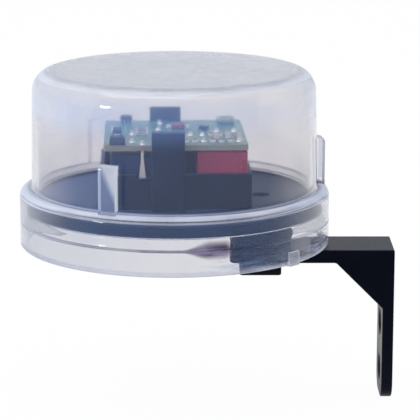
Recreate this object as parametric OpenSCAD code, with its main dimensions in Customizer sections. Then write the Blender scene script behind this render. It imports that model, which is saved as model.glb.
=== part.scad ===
// Photocell switch on a wall bracket. A clear cover snaps over a round base that
// carries a relay board, and a hollow stem under the base clamps it to an L bracket.
// The origin is on the bracket's wall face, midway between its screw holes.
// +X points into the wall and +Z is up.

/* [Cover] */
// Outer diameter of the skirt
cover_d = 90; // [86:0.5:96]
// Height from the skirt's lower edge to the top
cover_h = 50.7; // [48:0.1:60]
// Outer diameter of the dome where it leaves the step
dome_d = 83.2; // [82:0.1:85]
// Draft of the dome wall, in degrees
dome_draft = 1.2; // [0.5:0.1:2]
// Outer radius of the shoulder
shoulder_r = 5.8; // [4:0.1:8]
// Wall of the dome
dome_wall = 2; // [1.5:0.1:2.4]
// Wall of the skirt
skirt_wall = 1.8; // [1.4:0.1:2.2]
// Height of the step's upper face above the skirt's lower edge
step_h = 16.5; // [15:0.1:20]
// Thickness of the step over the sealing ring
step_t = 1.8; // [1.5:0.1:2.6]
// Rounding of the step's outer edge
step_round = 2.4; // [1.5:0.1:2.6]
// Fillet between the step and the foot of the dome
foot_round = 0.9; // [0.5:0.1:1.3]
// Rounding of the skirt's lower outer edge
hem_round = 0.7; // [0.4:0.1:1]
// Height of the snap bead inside the skirt
bead_h = 2.7; // [2:0.1:4]
// How far the snap bead stands in from the skirt's wall
bead_reach = 0.8; // [0.5:0.1:1.2]

/* [Grip lugs] */
// Number of lugs round the dome
lug_count = 3; // [2:1:6]
// Turn of the first lug from the wall side, in degrees
lug_turn = 3.5; // [-30:0.5:30]
// Width of a lug
lug_w = 5; // [4:0.1:8]
// Height of a lug above the step
lug_h = 13.5; // [8:0.1:16]
// How far a lug stands out from the foot of the dome
lug_reach = 2.3; // [1:0.05:2.6]
// Rounding of a lug's upper edge
lug_round = 1.1; // [0.5:0.1:1.5]
// How deep a lug's root lies in the dome's wall
lug_root = 1.4; // [1:0.1:1.45]
// Turn of the index tab from the wall side, in degrees
tab_turn = -44.5; // [-90:0.5:90]
// Width of the index tab on the skirt's lower edge
tab_w = 4; // [3:0.1:7]
// Height of the index tab
tab_h = 3.9; // [2.5:0.1:6]
// How far the index tab stands out from the skirt
tab_reach = 0.9; // [0.5:0.1:1.5]

/* [Sealing ring] */
// Thickness of the ring, squeezed
seal_t = 1.2; // [0.8:0.1:2]
// Radial width of the ring
seal_w = 2.2; // [1.5:0.1:2.6]

/* [Base] */
// Radial clearance between the base and the skirt
rim_clear = 0.2; // [0.1:0.05:0.4]
// Height of the rim that snaps over the bead
rim_h = 2.9; // [2.4:0.1:4]
// Radial width of the rim
rim_w = 1.8; // [1.4:0.1:3]
// Thickness of the round deck
deck_t = 1.8; // [1.4:0.1:2.2]
// Number of ribs under the deck
rib_count = 12; // [6:1:16]
// Thickness of a rib
rib_t = 1.4; // [1:0.1:2]
// Height of the tray's walls above the deck
tray_h = 10.2; // [6:0.1:14]
// Wall of the tray
tray_wall = 1.1; // [0.9:0.1:1.4]
// Outer corner radius of the tray
tray_round = 1.6; // [1.5:0.1:3]
// How far the tray stands out past the board on the short sides
tray_margin = 1.2; // [1.2:0.1:2]
// Width of the lead slot in the tray's wall
slot_w = 6; // [4:0.1:8]
// Depth of the lead slot
slot_h = 4.5; // [3:0.1:6]
// Width of the notch in the tray's front wall, in front of a wire tag
notch_w = 3.4; // [3:0.1:5]
// Depth of that notch
notch_h = 1.2; // [0.8:0.1:3]
// Width of a board post
post_w = 9.2; // [7:0.1:10]
// Thickness of a board post
post_t = 3.4; // [2.4:0.1:4.5]
// Height of a post's hook above the board
hook_h = 4.1; // [3:0.1:5]
// Height of a hook's upright nose
hook_nose = 1.1; // [0.8:0.1:1.6]
// How far a hook reaches over the board
hook_reach = 1.2; // [0.8:0.1:1.6]
// How far a post's ledge reaches under the board
ledge_reach = 1.5; // [1:0.1:2]

/* [Stem] */
// Diameter of the boss under the deck
boss_d = 18; // [16:0.1:22]
// Outer diameter of the stem
stem_d = 8; // [7:0.1:8.6]
// Bore of the stem, for the leads
lead_bore_d = 5; // [4:0.1:5.4]
// Gap between the tray's wall and the lead bore
lead_gap = 1.15; // [0.3:0.05:2]
// Clearance round the stem in the bracket's eye
eye_clear = 0.3; // [0.1:0.05:0.5]
// Clearance between the stem and its nut
nut_clear = 0.1; // [0.05:0.05:0.2]
// Width of the square nut
nut_w = 12.2; // [11.5:0.1:14]
// Thickness of the nut
nut_t = 4.4; // [4:0.1:7]
// Rounding of the nut's corners
nut_round = 1; // [0.5:0.1:2]
// Turn of the base about its stem, in degrees
base_turn = 2.4; // [-10:0.1:10]
// How far the stem's end lies inside the nut
stem_recess = 0.35; // [0.1:0.05:1]

/* [Bracket] */
// Distance from the cover's axis to the wall
reach = 64; // [56:0.5:90]
// Gap between the skirt's lower edge and the arm
arm_drop = 1.25; // [0.8:0.05:4]
// Width of the arm and the leg
arm_w = 18; // [16:0.5:28]
// Corner radius at the arm's end
arm_round = 2; // [1:0.1:5]
// Thickness of the arm
arm_t = 3.9; // [2.6:0.1:5]
// Height of the leg
leg_h = 45.85; // [40:0.05:60]
// Thickness of the leg
leg_t = 3.3; // [2.6:0.1:5]
// Corner radius at the leg's lower end
leg_round = 6; // [3:0.1:8]
// Length of the gusset along the arm and the leg
gusset_l = 13.7; // [10:0.1:16]
// Thickness of each gusset cheek
gusset_t = 2.6; // [2:0.1:4]
// Diameter of the wall screw holes
screw_d = 4.5; // [3.5:0.1:5.5]
// Diameter of a screw hole's countersink
sink_d = 8.4; // [7:0.1:9]
// Distance between the screw holes
screw_pitch = 14; // [12:0.1:20]
// Height of the lower hole above the leg's lower end
screw_low = 8.1; // [5:0.1:10]

/* [Circuit board] */
// Depth of the board, front to back
board_d = 40; // [38:0.5:44]
// Thickness of the board
board_t = 1.6; // [1.2:0.1:2]
// Height of the board's underside above the deck
board_gap = 17; // [16.5:0.1:20]
// Corner radius of the board
board_round = 1; // [0.5:0.1:2]
// Offset of the board's middle from the cover's axis
board_x = 0; // [-0.5:0.05:1.2]
// Clearance between the board and its posts
board_clear = 0.15; // [0.1:0.05:0.3]
// Diameter of a component lead
lead_d = 0.8; // [0.6:0.05:1]
// Clearance round a lead in the board
lead_clear = 0.1; // [0.05:0.05:0.2]
// How far a lead starts inside its part
lead_sink = 1; // [0.6:0.1:1.4]
// How far a lead stands out of the soldered side
lead_tip = 1.1; // [0.8:0.1:1.4]
// Diameter of a solder joint's foot
joint_d = 2; // [1.8:0.1:2.4]
// Diameter of a solder joint's top
joint_top = 1.2; // [1.1:0.1:1.6]
// Height of a solder joint
joint_h = 0.9; // [0.6:0.1:1.2]

/* [Parts under the board] */
// Length of the relay
relay_l = 19; // [15:0.1:20.5]
// Width of the relay
relay_w = 15.5; // [12:0.1:16.5]
// Height of the relay
relay_h = 15.3; // [10:0.1:16]
// Gap between the board's edge and the relay's end
relay_inset = 1.8; // [1:0.1:4]
// Gap between the board's edge and the relay's side
relay_setback = 3.6; // [3.4:0.1:5]
// Length of the film capacitor
film_l = 14.5; // [13:0.1:18]
// Width of the film capacitor
film_w = 8.5; // [6:0.1:10]
// Height of the film capacitor
film_h = 14.5; // [10:0.1:16]
// Lead pitch of the film capacitor
film_pitch = 10; // [7.5:0.5:12]
// Gap between the board's edge and the film capacitor's end
film_inset = 0.1; // [0.1:0.1:1]
// Gap between the relay and the film capacitor
bay_gap = 5.1; // [4:0.1:7]
// Edge radius of the relay and the film capacitor
case_round = 0.7; // [0.4:0.1:1.2]
// Gap between two parts beside each other
part_gap = 1.6; // [1.2:0.1:2.5]
// Diameter of the smoothing capacitor
smooth_d = 8; // [6.3:0.1:10]
// Height of the smoothing capacitor
smooth_h = 11.5; // [9:0.1:14]
// Edge radius of the smoothing capacitor
can_round = 0.5; // [0.3:0.1:1]
// Depth of the smoothing capacitor's crimp
crimp_depth = 0.4; // [0.2:0.1:0.6]
// Distance from the board to the crimp
crimp_gap = 1.8; // [1.2:0.1:3]
// Radius of the crimp's hollow
crimp_round = 0.7; // [0.5:0.1:0.9]
// Lead pitch of the smoothing capacitor
smooth_pitch = 3.5; // [2.5:0.5:4]
// Diameter of the varistor disc
varistor_d = 9.5; // [7:0.1:11]
// Thickness of the varistor disc
varistor_t = 4; // [3:0.1:5]
// Rounding of the varistor's dipped rim
varistor_round = 1.3; // [0.8:0.1:1.4]
// Gap between the board and the varistor
varistor_stand = 0.6; // [0.4:0.1:1]
// Lead pitch of the varistor
varistor_pitch = 5; // [4:0.5:7.5]
// Length of the surge resistor's body
surge_l = 9; // [7:0.1:11]
// Diameter of the surge resistor's body
surge_d = 3.4; // [2.5:0.1:4]
// Diameter of the surge resistor's waist
surge_waist = 2.9; // [2.2:0.1:3.2]
// Length of each end cap of the surge resistor
surge_cap = 1.8; // [1.2:0.1:2.4]
// Gap between the board and the surge resistor
surge_stand = 0.5; // [0.3:0.1:1]
// Length of each straight lead of the surge resistor before its bend
surge_lead = 2; // [1.5:0.1:3]
// Width of a wire tag at its foot
tag_w = 2.1; // [1.6:0.1:2.6]
// Width of a wire tag at its neck
tag_neck = 0.8; // [0.8:0.1:1]
// Length of a wire tag's straight foot
tag_foot = 8.6; // [6:0.1:10]
// Height of a wire tag's neck above the deck
tag_flare = 14.4; // [11:0.1:15]
// Thickness of a wire tag
tag_t = 0.8; // [0.6:0.1:1]

/* [Places on the board] */
// Gap between a post and the film capacitor
post_gap = 3.3; // [1.5:0.1:4]
// Gap between the posts and the middle of the front wire tag
tag_gap = 2.6; // [1.6:0.1:4]
// First rear wire tag, from the posts' middle and the board's back edge
tag_inset_a = [-1.7, 5]; // [-3:0.1:12]
// Second rear wire tag, from the posts' middle and the board's back edge
tag_inset_b = [0.8, 11.7]; // [-3:0.1:12]
// Light sensor, from the board's right and back edges
sensor_inset = [4.6, 4.6]; // [3.5:0.1:9]
// Control chip, from the board's left and back edges
chip_inset = [6.3, 3.6]; // [3.5:0.1:7]
// Large diode, from the board's left and front edges
diode_inset = [3.8, 2.3]; // [2:0.1:5]
// Small diode, from the board's left and front edges
small_diode_inset = [3.7, 15]; // [2:0.1:22]
// Glass diode, from the posts' middle and the board's front edge
glass_inset = [3.4, 25.2]; // [2:0.1:26]
// Driver transistor, from the posts' middle and the board's front edge
driver_inset = [10.9, 23.5]; // [10:0.1:24]
// Spacing of the chip resistors over the film capacitor
resistor_step = 2.5; // [2:0.1:2.7]
// First chip resistor over the relay, from the board's front edge
bank_inset = 16.2; // [16:0.1:18]
// Spacing of the chip resistors over the relay
bank_step = 3.6; // [2.4:0.1:4]
// Spacing of the chip capacitors
ceramic_step = 3.2; // [2.4:0.1:3.4]

/* [Parts on the board] */
// Diameter of the light sensor
sensor_d = 5.4; // [4.6:0.1:7]
// Width across the light sensor's flats
sensor_flat = 4.7; // [3.6:0.1:6]
// Thickness of the light sensor
sensor_t = 1.4; // [1:0.1:3]
// Gap between the board and the light sensor
sensor_stand = 0.3; // [0.2:0.1:2]
// Diameter of the light sensor's leads
sensor_lead_d = 0.6; // [0.4:0.05:0.8]
// Lead pitch of the light sensor
sensor_pitch = 3.4; // [2.5:0.1:3.6]
// Length of the control chip
chip_l = 3.6; // [3.4:0.1:6]
// Width of the control chip's body
chip_w = 3.9; // [3:0.1:5]
// Thickness of the control chip's body
chip_t = 1.9; // [1:0.1:2.2]
// Span of the control chip over its legs
chip_span = 6; // [5.4:0.1:7]
// Pitch of the control chip's legs
leg_pitch = 0.95; // [0.8:0.01:0.98]
// Width of a leg
leg_w = 0.42; // [0.3:0.02:0.6]
// Thickness of the leg's metal
leg_metal = 0.22; // [0.15:0.01:0.3]
// Length of the large diode
diode_l = 4.5; // [3.5:0.1:5]
// Width of the large diode
diode_w = 3.7; // [2.6:0.1:4]
// Thickness of the diodes
diode_t = 2.3; // [1.8:0.1:2.6]
// Length of a diode's tin foot under its body
diode_foot = 0.9; // [0.6:0.1:1.2]
// How far a diode's tin foot stands out
diode_toe = 0.15; // [0.1:0.05:0.3]
// How far a diode's ends slope in above and below its waist
diode_slope = [0.25, 0.15]; // [0.1:0.05:0.4]
// Height of a diode's waist
diode_waist = 1; // [0.8:0.1:1.2]
// Width of a diode's tin foot
diode_foot_w = 1.8; // [1.2:0.1:2]
// Gap between the board and a moulded body
body_lift = 0.1; // [0.05:0.05:0.2]
// Width of the small diode
small_diode_w = 2.8; // [2:0.1:3.2]
// Length of the glass diode's body
glass_l = 4; // [3:0.1:4.5]
// Diameter of the glass diode's body
glass_d = 1.9; // [1.4:0.1:2.2]
// Diameter of the glass diode's wires
glass_wire_d = 0.55; // [0.4:0.05:0.7]
// Length of each wire of the glass diode
glass_lead = 1.3; // [1:0.1:1.6]
// Length of the driver transistor
driver_l = 2.9; // [2.4:0.1:3.4]
// Width of the driver transistor's body
driver_w = 1.4; // [1.2:0.1:1.8]
// Length of each leg of the driver transistor
driver_leg = 0.5; // [0.4:0.1:0.8]
// Height of the driver transistor
driver_h = 1.2; // [0.9:0.1:1.4]
// Length of a chip resistor
resistor_l = 3.2; // [2.4:0.1:3.4]
// Width of a chip resistor
resistor_w = 1.6; // [1.2:0.1:1.8]
// Thickness of a chip resistor
resistor_t = 0.7; // [0.5:0.1:1]
// Thickness of a chip capacitor
ceramic_t = 1.3; // [0.8:0.1:1.6]

/* [Hidden] */
$fn = 96;
eps = 0.01;

// Heights above the skirt's lower edge
seat_z = step_h - step_t;
deck_z = seat_z - seal_t;
rim_z = deck_z - rim_h;
board_z = deck_z + board_gap;
top_z = board_z + board_t;
arm_z = -arm_drop;
stem_end_z = arm_z - arm_t - nut_t + stem_recess;

// Radii about the cover's axis
skirt_r = cover_d / 2;
skirt_in_r = skirt_r - skirt_wall;
rim_r = skirt_in_r - rim_clear;
dome_r = dome_d / 2;

// Board, tray and what stands in the tray, from the cover's axis
board_w = relay_inset + relay_l + bay_gap + film_l + film_inset;
board_left = board_x - board_w / 2;
board_right = board_x + board_w / 2;
board_front = -board_d / 2;
board_back = board_d / 2;
tray_w = board_w + 2 * tray_margin;
tray_right = board_x + tray_w / 2;
relay_x = board_left + relay_inset + relay_l / 2;
relay_y = board_front + relay_setback + relay_w / 2;
film_x = board_right - film_inset - film_l / 2;
film_y = board_front + tray_wall + rim_clear + film_w / 2;
smooth_x = relay_x + relay_l / 2 + part_gap + smooth_d / 2;
smooth_y = film_y + film_w / 2 + part_gap + smooth_d / 2;
varistor_x = smooth_x + smooth_d / 2 + part_gap + varistor_d / 2 - smooth_pitch / 2;
varistor_y = smooth_y + smooth_d / 2 + part_gap;
surge_span = surge_l + 2 * surge_lead;
surge_x = relay_x - relay_l / 2 + lead_d + surge_span / 2;
surge_y = relay_y + relay_w / 2 + part_gap + surge_d;
post_x = film_x - film_l / 2 - post_gap - post_w / 2;
tag_front = [post_x - post_w / 2 - tag_gap, board_front + tray_wall + rim_clear + tag_t / 2];
tag_spots = [tag_front, [post_x + tag_inset_a.x, board_back - tag_inset_a.y],
    [post_x + tag_inset_b.x, board_back - tag_inset_b.y]];

// Stem and bracket, from the origin
axis_x = -reach;
skirt_z = arm_drop + leg_h - screw_low - screw_pitch / 2;
boss_x = tray_right + lead_gap + lead_bore_d / 2;
stem_x = axis_x + boss_x;
arm_top = skirt_z + arm_z;
leg_end = arm_top - leg_h;

// Leads that pass through the board: relay contacts and coil, then the other parts
relay_pins = [[-8, 0], [-3.4, 6], [-3.4, -6], [7.5, 6], [7.5, -6]];
lead_spots = concat(
    [for (p = relay_pins) [relay_x + p.x, relay_y + p.y]],
    [for (s = [-1, 1]) [film_x + s * film_pitch / 2, film_y]],
    [for (s = [-1, 1]) [smooth_x + s * smooth_pitch / 2, smooth_y]],
    [for (s = [-1, 1]) [varistor_x + s * varistor_pitch / 2, varistor_y]],
    [for (s = [-1, 1]) [surge_x + s * surge_span / 2, surge_y]],
    tag_spots);

// Middles of the parts on the board
sensor_at = [board_right - sensor_inset.x, board_back - sensor_inset.y];
chip_at = [board_left + chip_inset.x, board_back - chip_inset.y];
diode_at = [board_left + diode_inset.x, board_front + diode_inset.y];
small_diode_at = [board_left + small_diode_inset.x, board_front + small_diode_inset.y];
glass_at = [post_x + glass_inset.x, board_front + glass_inset.y];
driver_at = [post_x + driver_inset.x, board_front + driver_inset.y];
front_row = [for (i = [-4, -3, -1, 0, 1]) [film_x + i * resistor_step, film_y, 90]];
rear_row = [for (i = [1:4]) [smooth_x + smooth_pitch / 2 + i * resistor_step, smooth_y, 90]];
resistor_bank = [for (i = [0:2]) [tag_front.x, board_front + bank_inset + i * bank_step, 0]];
ceramic_y = smooth_y - smooth_d / 4 - joint_d;
ceramics = [for (i = [0:2]) [smooth_x + smooth_d / 2 + (i + 0.5) * ceramic_step, ceramic_y, 90]];

// Carries what is drawn about the cover's axis, from the skirt's lower edge
module on_axis() {
    translate([stem_x, 0, skirt_z]) rotate(base_turn) translate([-boss_x, 0, 0]) children();
}

// Flat rectangle with round corners, about its middle
module rounded_rect(w, d, r) {
    square([w - 2 * r, d], center = true);
    square([w, d - 2 * r], center = true);
    for (x = [-1, 1], y = [-1, 1])
        translate([x * (w / 2 - r), y * (d / 2 - r)]) circle(r);
}

// Half of a dome's section: a drafted wall, a shoulder and a flat top
module dome_section(foot_r, foot_z, top, shoulder) {
    centre_z = top - shoulder;
    wall_r = foot_r - (centre_z - foot_z) * tan(dome_draft);
    centre_r = wall_r - shoulder / cos(dome_draft);
    touch = [centre_r + shoulder * cos(dome_draft), centre_z + shoulder * sin(dome_draft)];
    polygon([[0, foot_z], [foot_r, foot_z], touch, [centre_r, top], [0, top]]);
    translate([centre_r, centre_z]) circle(shoulder);
}

// Half of the skirt's section, filled to the axis
module skirt_section() {
    translate([0, hem_round]) square([skirt_r, step_h - step_round - hem_round]);
    square([skirt_r - hem_round, step_h - step_round]);
    square([skirt_r - step_round, step_h]);
    translate([skirt_r - hem_round, hem_round]) circle(hem_round);
    translate([skirt_r - step_round, step_h - step_round]) circle(step_round);
}

// Snap bead under the base's rim: a long lead-in below and a steep catch above
module bead_section() {
    top = rim_z - eps;
    crest = skirt_in_r - bead_reach;
    polygon([[skirt_in_r + eps, top - bead_h], [crest, top - bead_h / 3],
        [crest, top - bead_h / 6], [skirt_in_r - bead_reach / 3, top], [skirt_in_r + eps, top]]);
}

// Fillet in the corner between the step and the dome, no wider than the step's flat
module foot_section() {
    r = min(foot_round, skirt_r - step_round - dome_r);
    lean = r * tan(dome_draft) + eps;
    translate([dome_r, step_h]) difference() {
        translate([-lean, -eps]) square([r + lean, r + eps]);
        translate([r, r]) circle(r);
    }
}

module cover_section() {
    difference() {
        union() {
            skirt_section();
            foot_section();
            dome_section(dome_r, step_h - step_round, cover_h, shoulder_r);
        }
        translate([0, -eps]) square([skirt_in_r, seat_z + eps]);
        dome_section(dome_r - dome_wall, seat_z - eps, cover_h - dome_wall, shoulder_r - dome_wall);
    }
    bead_section();
}

// Grip lug, standing on the step with its upper edge rounded
module grip_lug() {
    root = dome_r - lug_root;
    tip = dome_r + lug_reach;
    foot = step_h - step_t / 2;
    top = step_h + lug_h;
    rotate([90, 0, 0]) linear_extrude(lug_w, center = true) {
        translate([root, foot]) square([tip - root, top - lug_round - foot]);
        translate([root, foot]) square([tip - lug_round - root, top - foot]);
        translate([tip - lug_round, top - lug_round]) circle(lug_round);
    }
}

module clear_cover() color([0.86, 0.87, 0.92, 0.45]) on_axis() {
    rotate_extrude() cover_section();
    for (i = [0:lug_count - 1])
        rotate(lug_turn + i * 360 / lug_count) grip_lug();
    rotate(tab_turn) translate([skirt_in_r + skirt_wall / 4, -tab_w / 2, 0])
        cube([skirt_wall * 0.75 + tab_reach, tab_w, tab_h]);
}

module sealing_ring() color("dimgray") on_axis()
    rotate_extrude() translate([rim_r - seal_w, deck_z]) square([seal_w, seal_t]);

// Post at the board's edge: a ledge under the board and a hook over it
module board_post() {
    edge = board_back + board_clear;
    rotate([90, 0, 90]) linear_extrude(post_w, center = true) polygon([
        [board_back - ledge_reach, deck_z - eps], [edge + post_t, deck_z - eps],
        [edge + post_t, top_z + hook_h], [edge, top_z + hook_h],
        [board_back - hook_reach, top_z + hook_nose], [board_back - hook_reach, top_z + eps],
        [edge, top_z + eps], [edge, board_z], [board_back - ledge_reach, board_z]]);
}

module tray() {
    translate([board_x, 0, deck_z - eps]) difference() {
        linear_extrude(tray_h + eps) rounded_rect(tray_w, board_d, tray_round);
        translate([0, 0, -eps]) linear_extrude(tray_h + 3 * eps)
            rounded_rect(tray_w - 2 * tray_wall, board_d - 2 * tray_wall, tray_round - tray_wall);
        translate([tray_w / 2 - tray_wall - eps, -slot_w / 2, tray_h - slot_h])
            cube([tray_wall + 2 * eps, slot_w, slot_h + 2 * eps]);
        translate([tag_front.x - board_x - notch_w / 2, -board_d / 2 - eps, tray_h - notch_h])
            cube([notch_w, tray_wall + 2 * eps, notch_h + 2 * eps]);
    }
}

module deck() {
    rotate_extrude() {
        translate([0, deck_z - deck_t]) square([rim_r, deck_t]);
        translate([rim_r - rim_w, rim_z]) square([rim_w, rim_h]);
    }
    for (i = [0:rib_count - 1])
        rotate((i + 0.5) * 360 / rib_count) translate([boss_d / 2, -rib_t / 2, rim_z])
            cube([rim_r - rim_w / 2 - boss_d / 2, rib_t, rim_h - deck_t / 2]);
}

module base() color([0.13, 0.15, 0.2]) on_axis() difference() {
    union() {
        deck();
        tray();
        translate([post_x, 0, 0]) board_post();
        translate([post_x, 0, 0]) mirror([0, 1, 0]) board_post();
        translate([boss_x, 0, arm_z]) cylinder(d = boss_d, h = deck_z - deck_t / 2 - arm_z);
        translate([boss_x, 0, stem_end_z]) cylinder(d = stem_d, h = arm_z + 1 - stem_end_z);
    }
    translate([boss_x, 0, stem_end_z - 1]) cylinder(d = lead_bore_d, h = deck_z - stem_end_z + 2);
}

module clamp_nut() color([0.1, 0.1, 0.12])
    translate([stem_x, 0, arm_top - arm_t - nut_t]) difference() {
        linear_extrude(nut_t) rounded_rect(nut_w, nut_w, nut_round);
        translate([0, 0, -1]) cylinder(d = stem_d + 2 * nut_clear, h = nut_t + 2);
    }

// Arm that ends flush with the boss, with a round eye for the stem
module bracket_arm() {
    end = stem_x - boss_d / 2;
    translate([0, 0, arm_top - arm_t]) linear_extrude(arm_t) difference() {
        union() {
            translate([end + arm_round, -arm_w / 2]) square([-end - arm_round, arm_w]);
            translate([end, arm_round - arm_w / 2]) square([arm_round + eps, arm_w - 2 * arm_round]);
            for (s = [-1, 1]) translate([end + arm_round, s * (arm_w / 2 - arm_round)]) circle(arm_round);
        }
        translate([stem_x, 0]) circle(d = stem_d + 2 * eye_clear);
    }
}

// Leg against the wall, with its lower corners rounded and countersunk screw holes
module bracket_leg() {
    difference() {
        translate([-leg_t, 0, 0]) rotate([90, 0, 90]) linear_extrude(leg_t) {
            translate([-arm_w / 2, leg_end + leg_round]) square([arm_w, leg_h - leg_round]);
            translate([-arm_w / 2 + leg_round, leg_end])
                square([arm_w - 2 * leg_round, leg_round + eps]);
            for (s = [-1, 1])
                translate([s * (arm_w / 2 - leg_round), leg_end + leg_round]) circle(leg_round);
        }
        for (s = [-1, 1]) translate([0, 0, s * screw_pitch / 2]) rotate([0, 90, 0]) {
            translate([0, 0, -leg_t - 1]) cylinder(d = screw_d, h = leg_t + 2);
            translate([0, 0, -leg_t - eps])
                cylinder(d1 = sink_d, d2 = screw_d, h = (sink_d - screw_d) / 2);
        }
    }
}

module bracket() color([0.08, 0.09, 0.11]) {
    corner = arm_top - arm_t;
    bracket_arm();
    bracket_leg();
    for (s = [-1, 1]) translate([0, s * (arm_w - gusset_t) / 2, 0])
        rotate([90, 0, 0]) linear_extrude(gusset_t, center = true)
            polygon([[-leg_t - gusset_l, corner + eps], [-leg_t + eps, corner + eps],
                [-leg_t + eps, corner - gusset_l], [-leg_t, corner - gusset_l],
                [-leg_t - gusset_l, corner]]);
}

module circuit_board() color([0.42, 0.56, 0.5]) on_axis()
    translate([0, 0, board_z]) linear_extrude(board_t) difference() {
        translate([board_x, 0]) rounded_rect(board_w, board_d, board_round);
        for (p = lead_spots) translate(p) circle(d = lead_d + 2 * lead_clear);
    }

// Straight leads from a height up through the board, at places given from the axis
module leads(spots, from_z) {
    for (p = spots) translate([p.x, p.y, from_z])
        cylinder(d = lead_d, h = top_z + lead_tip - from_z);
}

// Leads number first to last of the list of lead places
function lead_range(first, last) = [for (i = [first:last]) lead_spots[i]];

module relay() color([0.16, 0.18, 0.26]) on_axis() {
    translate([relay_x, relay_y, board_z - relay_h])
        linear_extrude(relay_h) rounded_rect(relay_l, relay_w, case_round);
    leads(lead_range(0, 4), board_z - lead_sink);
}

module film_capacitor() color([0.8, 0.16, 0.27]) on_axis() {
    translate([film_x, film_y, board_z - film_h])
        linear_extrude(film_h) rounded_rect(film_l, film_w, case_round);
    leads(lead_range(5, 6), board_z - lead_sink);
}

// Can with its crimp towards the board
module smoothing_capacitor() color([0.12, 0.13, 0.2]) on_axis() {
    r = smooth_d / 2;
    translate([smooth_x, smooth_y, board_z - smooth_h]) rotate_extrude() difference() {
        union() {
            translate([0, can_round]) square([r, smooth_h - can_round]);
            square([r - can_round, 2 * can_round]);
            translate([r - can_round, can_round]) circle(can_round);
        }
        translate([r + crimp_round - crimp_depth, smooth_h - crimp_gap]) circle(crimp_round);
    }
    leads(lead_range(7, 8), board_z - lead_sink);
}

module varistor() color([0.2, 0.35, 0.6]) on_axis() {
    middle_z = board_z - varistor_stand - varistor_d / 2;
    flat_r = varistor_d / 2 - varistor_round;
    flat_t = varistor_t / 2 - varistor_round;
    translate([varistor_x, varistor_y, middle_z]) rotate([90, 0, 0]) rotate_extrude() {
        translate([0, -varistor_t / 2]) square([flat_r, varistor_t]);
        translate([0, -flat_t]) square([varistor_d / 2, 2 * flat_t]);
        for (s = [-1, 1]) translate([flat_r, s * flat_t]) circle(varistor_round);
    }
    leads(lead_range(9, 10), middle_z);
}

module surge_resistor() color([0.55, 0.65, 0.72]) on_axis() {
    middle_z = board_z - surge_d / 2 - surge_stand;
    translate([surge_x, surge_y, middle_z]) rotate([0, 90, 0]) {
        cylinder(d = surge_waist, h = surge_l, center = true);
        for (s = [-1, 1]) translate([0, 0, s * (surge_l - surge_cap) / 2])
            cylinder(d = surge_d, h = surge_cap, center = true);
        cylinder(d = lead_d, h = surge_span, center = true);
    }
    for (p = lead_range(11, 12)) translate([p.x, p.y, middle_z]) sphere(d = lead_d);
    leads(lead_range(11, 12), middle_z);
}

// Stamped tag: a straight foot on the deck, a flare and a round pin through the board
module wire_tags() color([0.86, 0.8, 0.76]) on_axis() {
    for (p = tag_spots) translate([p.x, p.y, deck_z]) rotate([90, 0, 0])
        linear_extrude(tag_t, center = true) polygon([[-tag_w / 2, 0], [tag_w / 2, 0],
            [tag_w / 2, tag_foot], [tag_neck / 2, tag_flare], [tag_neck / 2, board_gap - lead_clear],
            [-tag_neck / 2, board_gap - lead_clear], [-tag_neck / 2, tag_flare],
            [-tag_w / 2, tag_foot]]);
    leads(tag_spots, board_z - lead_sink);
}

module light_sensor() color([0.45, 0.62, 0.66]) on_axis() {
    translate([sensor_at.x, sensor_at.y, top_z + sensor_stand]) intersection() {
        cylinder(d = sensor_d, h = sensor_t);
        translate([-sensor_d / 2, -sensor_flat / 2, -1]) cube([sensor_d, sensor_flat, sensor_t + 2]);
    }
    for (s = [-1, 1]) translate([sensor_at.x + s * sensor_pitch / 2, sensor_at.y, top_z])
        cylinder(d = sensor_lead_d, h = sensor_stand + sensor_t / 2);
}

module control_chip() color([0.25, 0.27, 0.45]) on_axis()
    translate([chip_at.x, chip_at.y, top_z + leg_metal])
        translate([-chip_l / 2, -chip_w / 2, 0]) cube([chip_l, chip_w, chip_t]);

// Gull-wing legs: a foot on the board, a riser and a shoulder against the body
module chip_legs() color("silver") on_axis() {
    foot = (chip_span - chip_w) / 2;
    shoulder_z = chip_t * 0.6;
    for (side = [0, 180], i = [-1.5:1.5])
        translate([chip_at.x, chip_at.y, top_z]) rotate(side)
            translate([i * leg_pitch, chip_w / 2, 0]) rotate([90, 0, 90])
                linear_extrude(leg_w, center = true) polygon([[foot / 2 - leg_metal, 0], [foot, 0],
                    [foot, leg_metal], [foot / 2, leg_metal], [foot / 2, shoulder_z],
                    [0, shoulder_z], [0, shoulder_z - leg_metal],
                    [foot / 2 - leg_metal, shoulder_z - leg_metal]]);
}

// Moulded diode with sloping sides and a tin foot at each end
module chip_diode(l, w) {
    body_t = diode_t - body_lift;
    translate([0, 0, body_lift]) rotate([90, 0, 0]) linear_extrude(w, center = true) polygon([
        [-l / 2 + diode_slope.y, 0], [l / 2 - diode_slope.y, 0], [l / 2, diode_waist],
        [l / 2 - diode_slope.x, body_t], [-l / 2 + diode_slope.x, body_t], [-l / 2, diode_waist]]);
    for (s = [-1, 1]) translate([s * (l - diode_foot + diode_toe) / 2, 0, diode_waist / 2])
        cube([diode_foot + diode_toe, diode_foot_w, diode_waist], center = true);
}

module rectifier_diodes() color([0.13, 0.14, 0.18]) on_axis() {
    translate([diode_at.x, diode_at.y, top_z]) chip_diode(diode_l, diode_w);
    translate([small_diode_at.x, small_diode_at.y, top_z])
        rotate(90) chip_diode(diode_l, small_diode_w);
}

module glass_diode() color([0.72, 0.36, 0.32]) on_axis()
    translate([glass_at.x, glass_at.y, top_z + glass_d / 2]) rotate([0, 90, 0]) {
        cylinder(d = glass_d, h = glass_l, center = true);
        cylinder(d = glass_wire_d, h = glass_l + 2 * glass_lead, center = true);
    }

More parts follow.
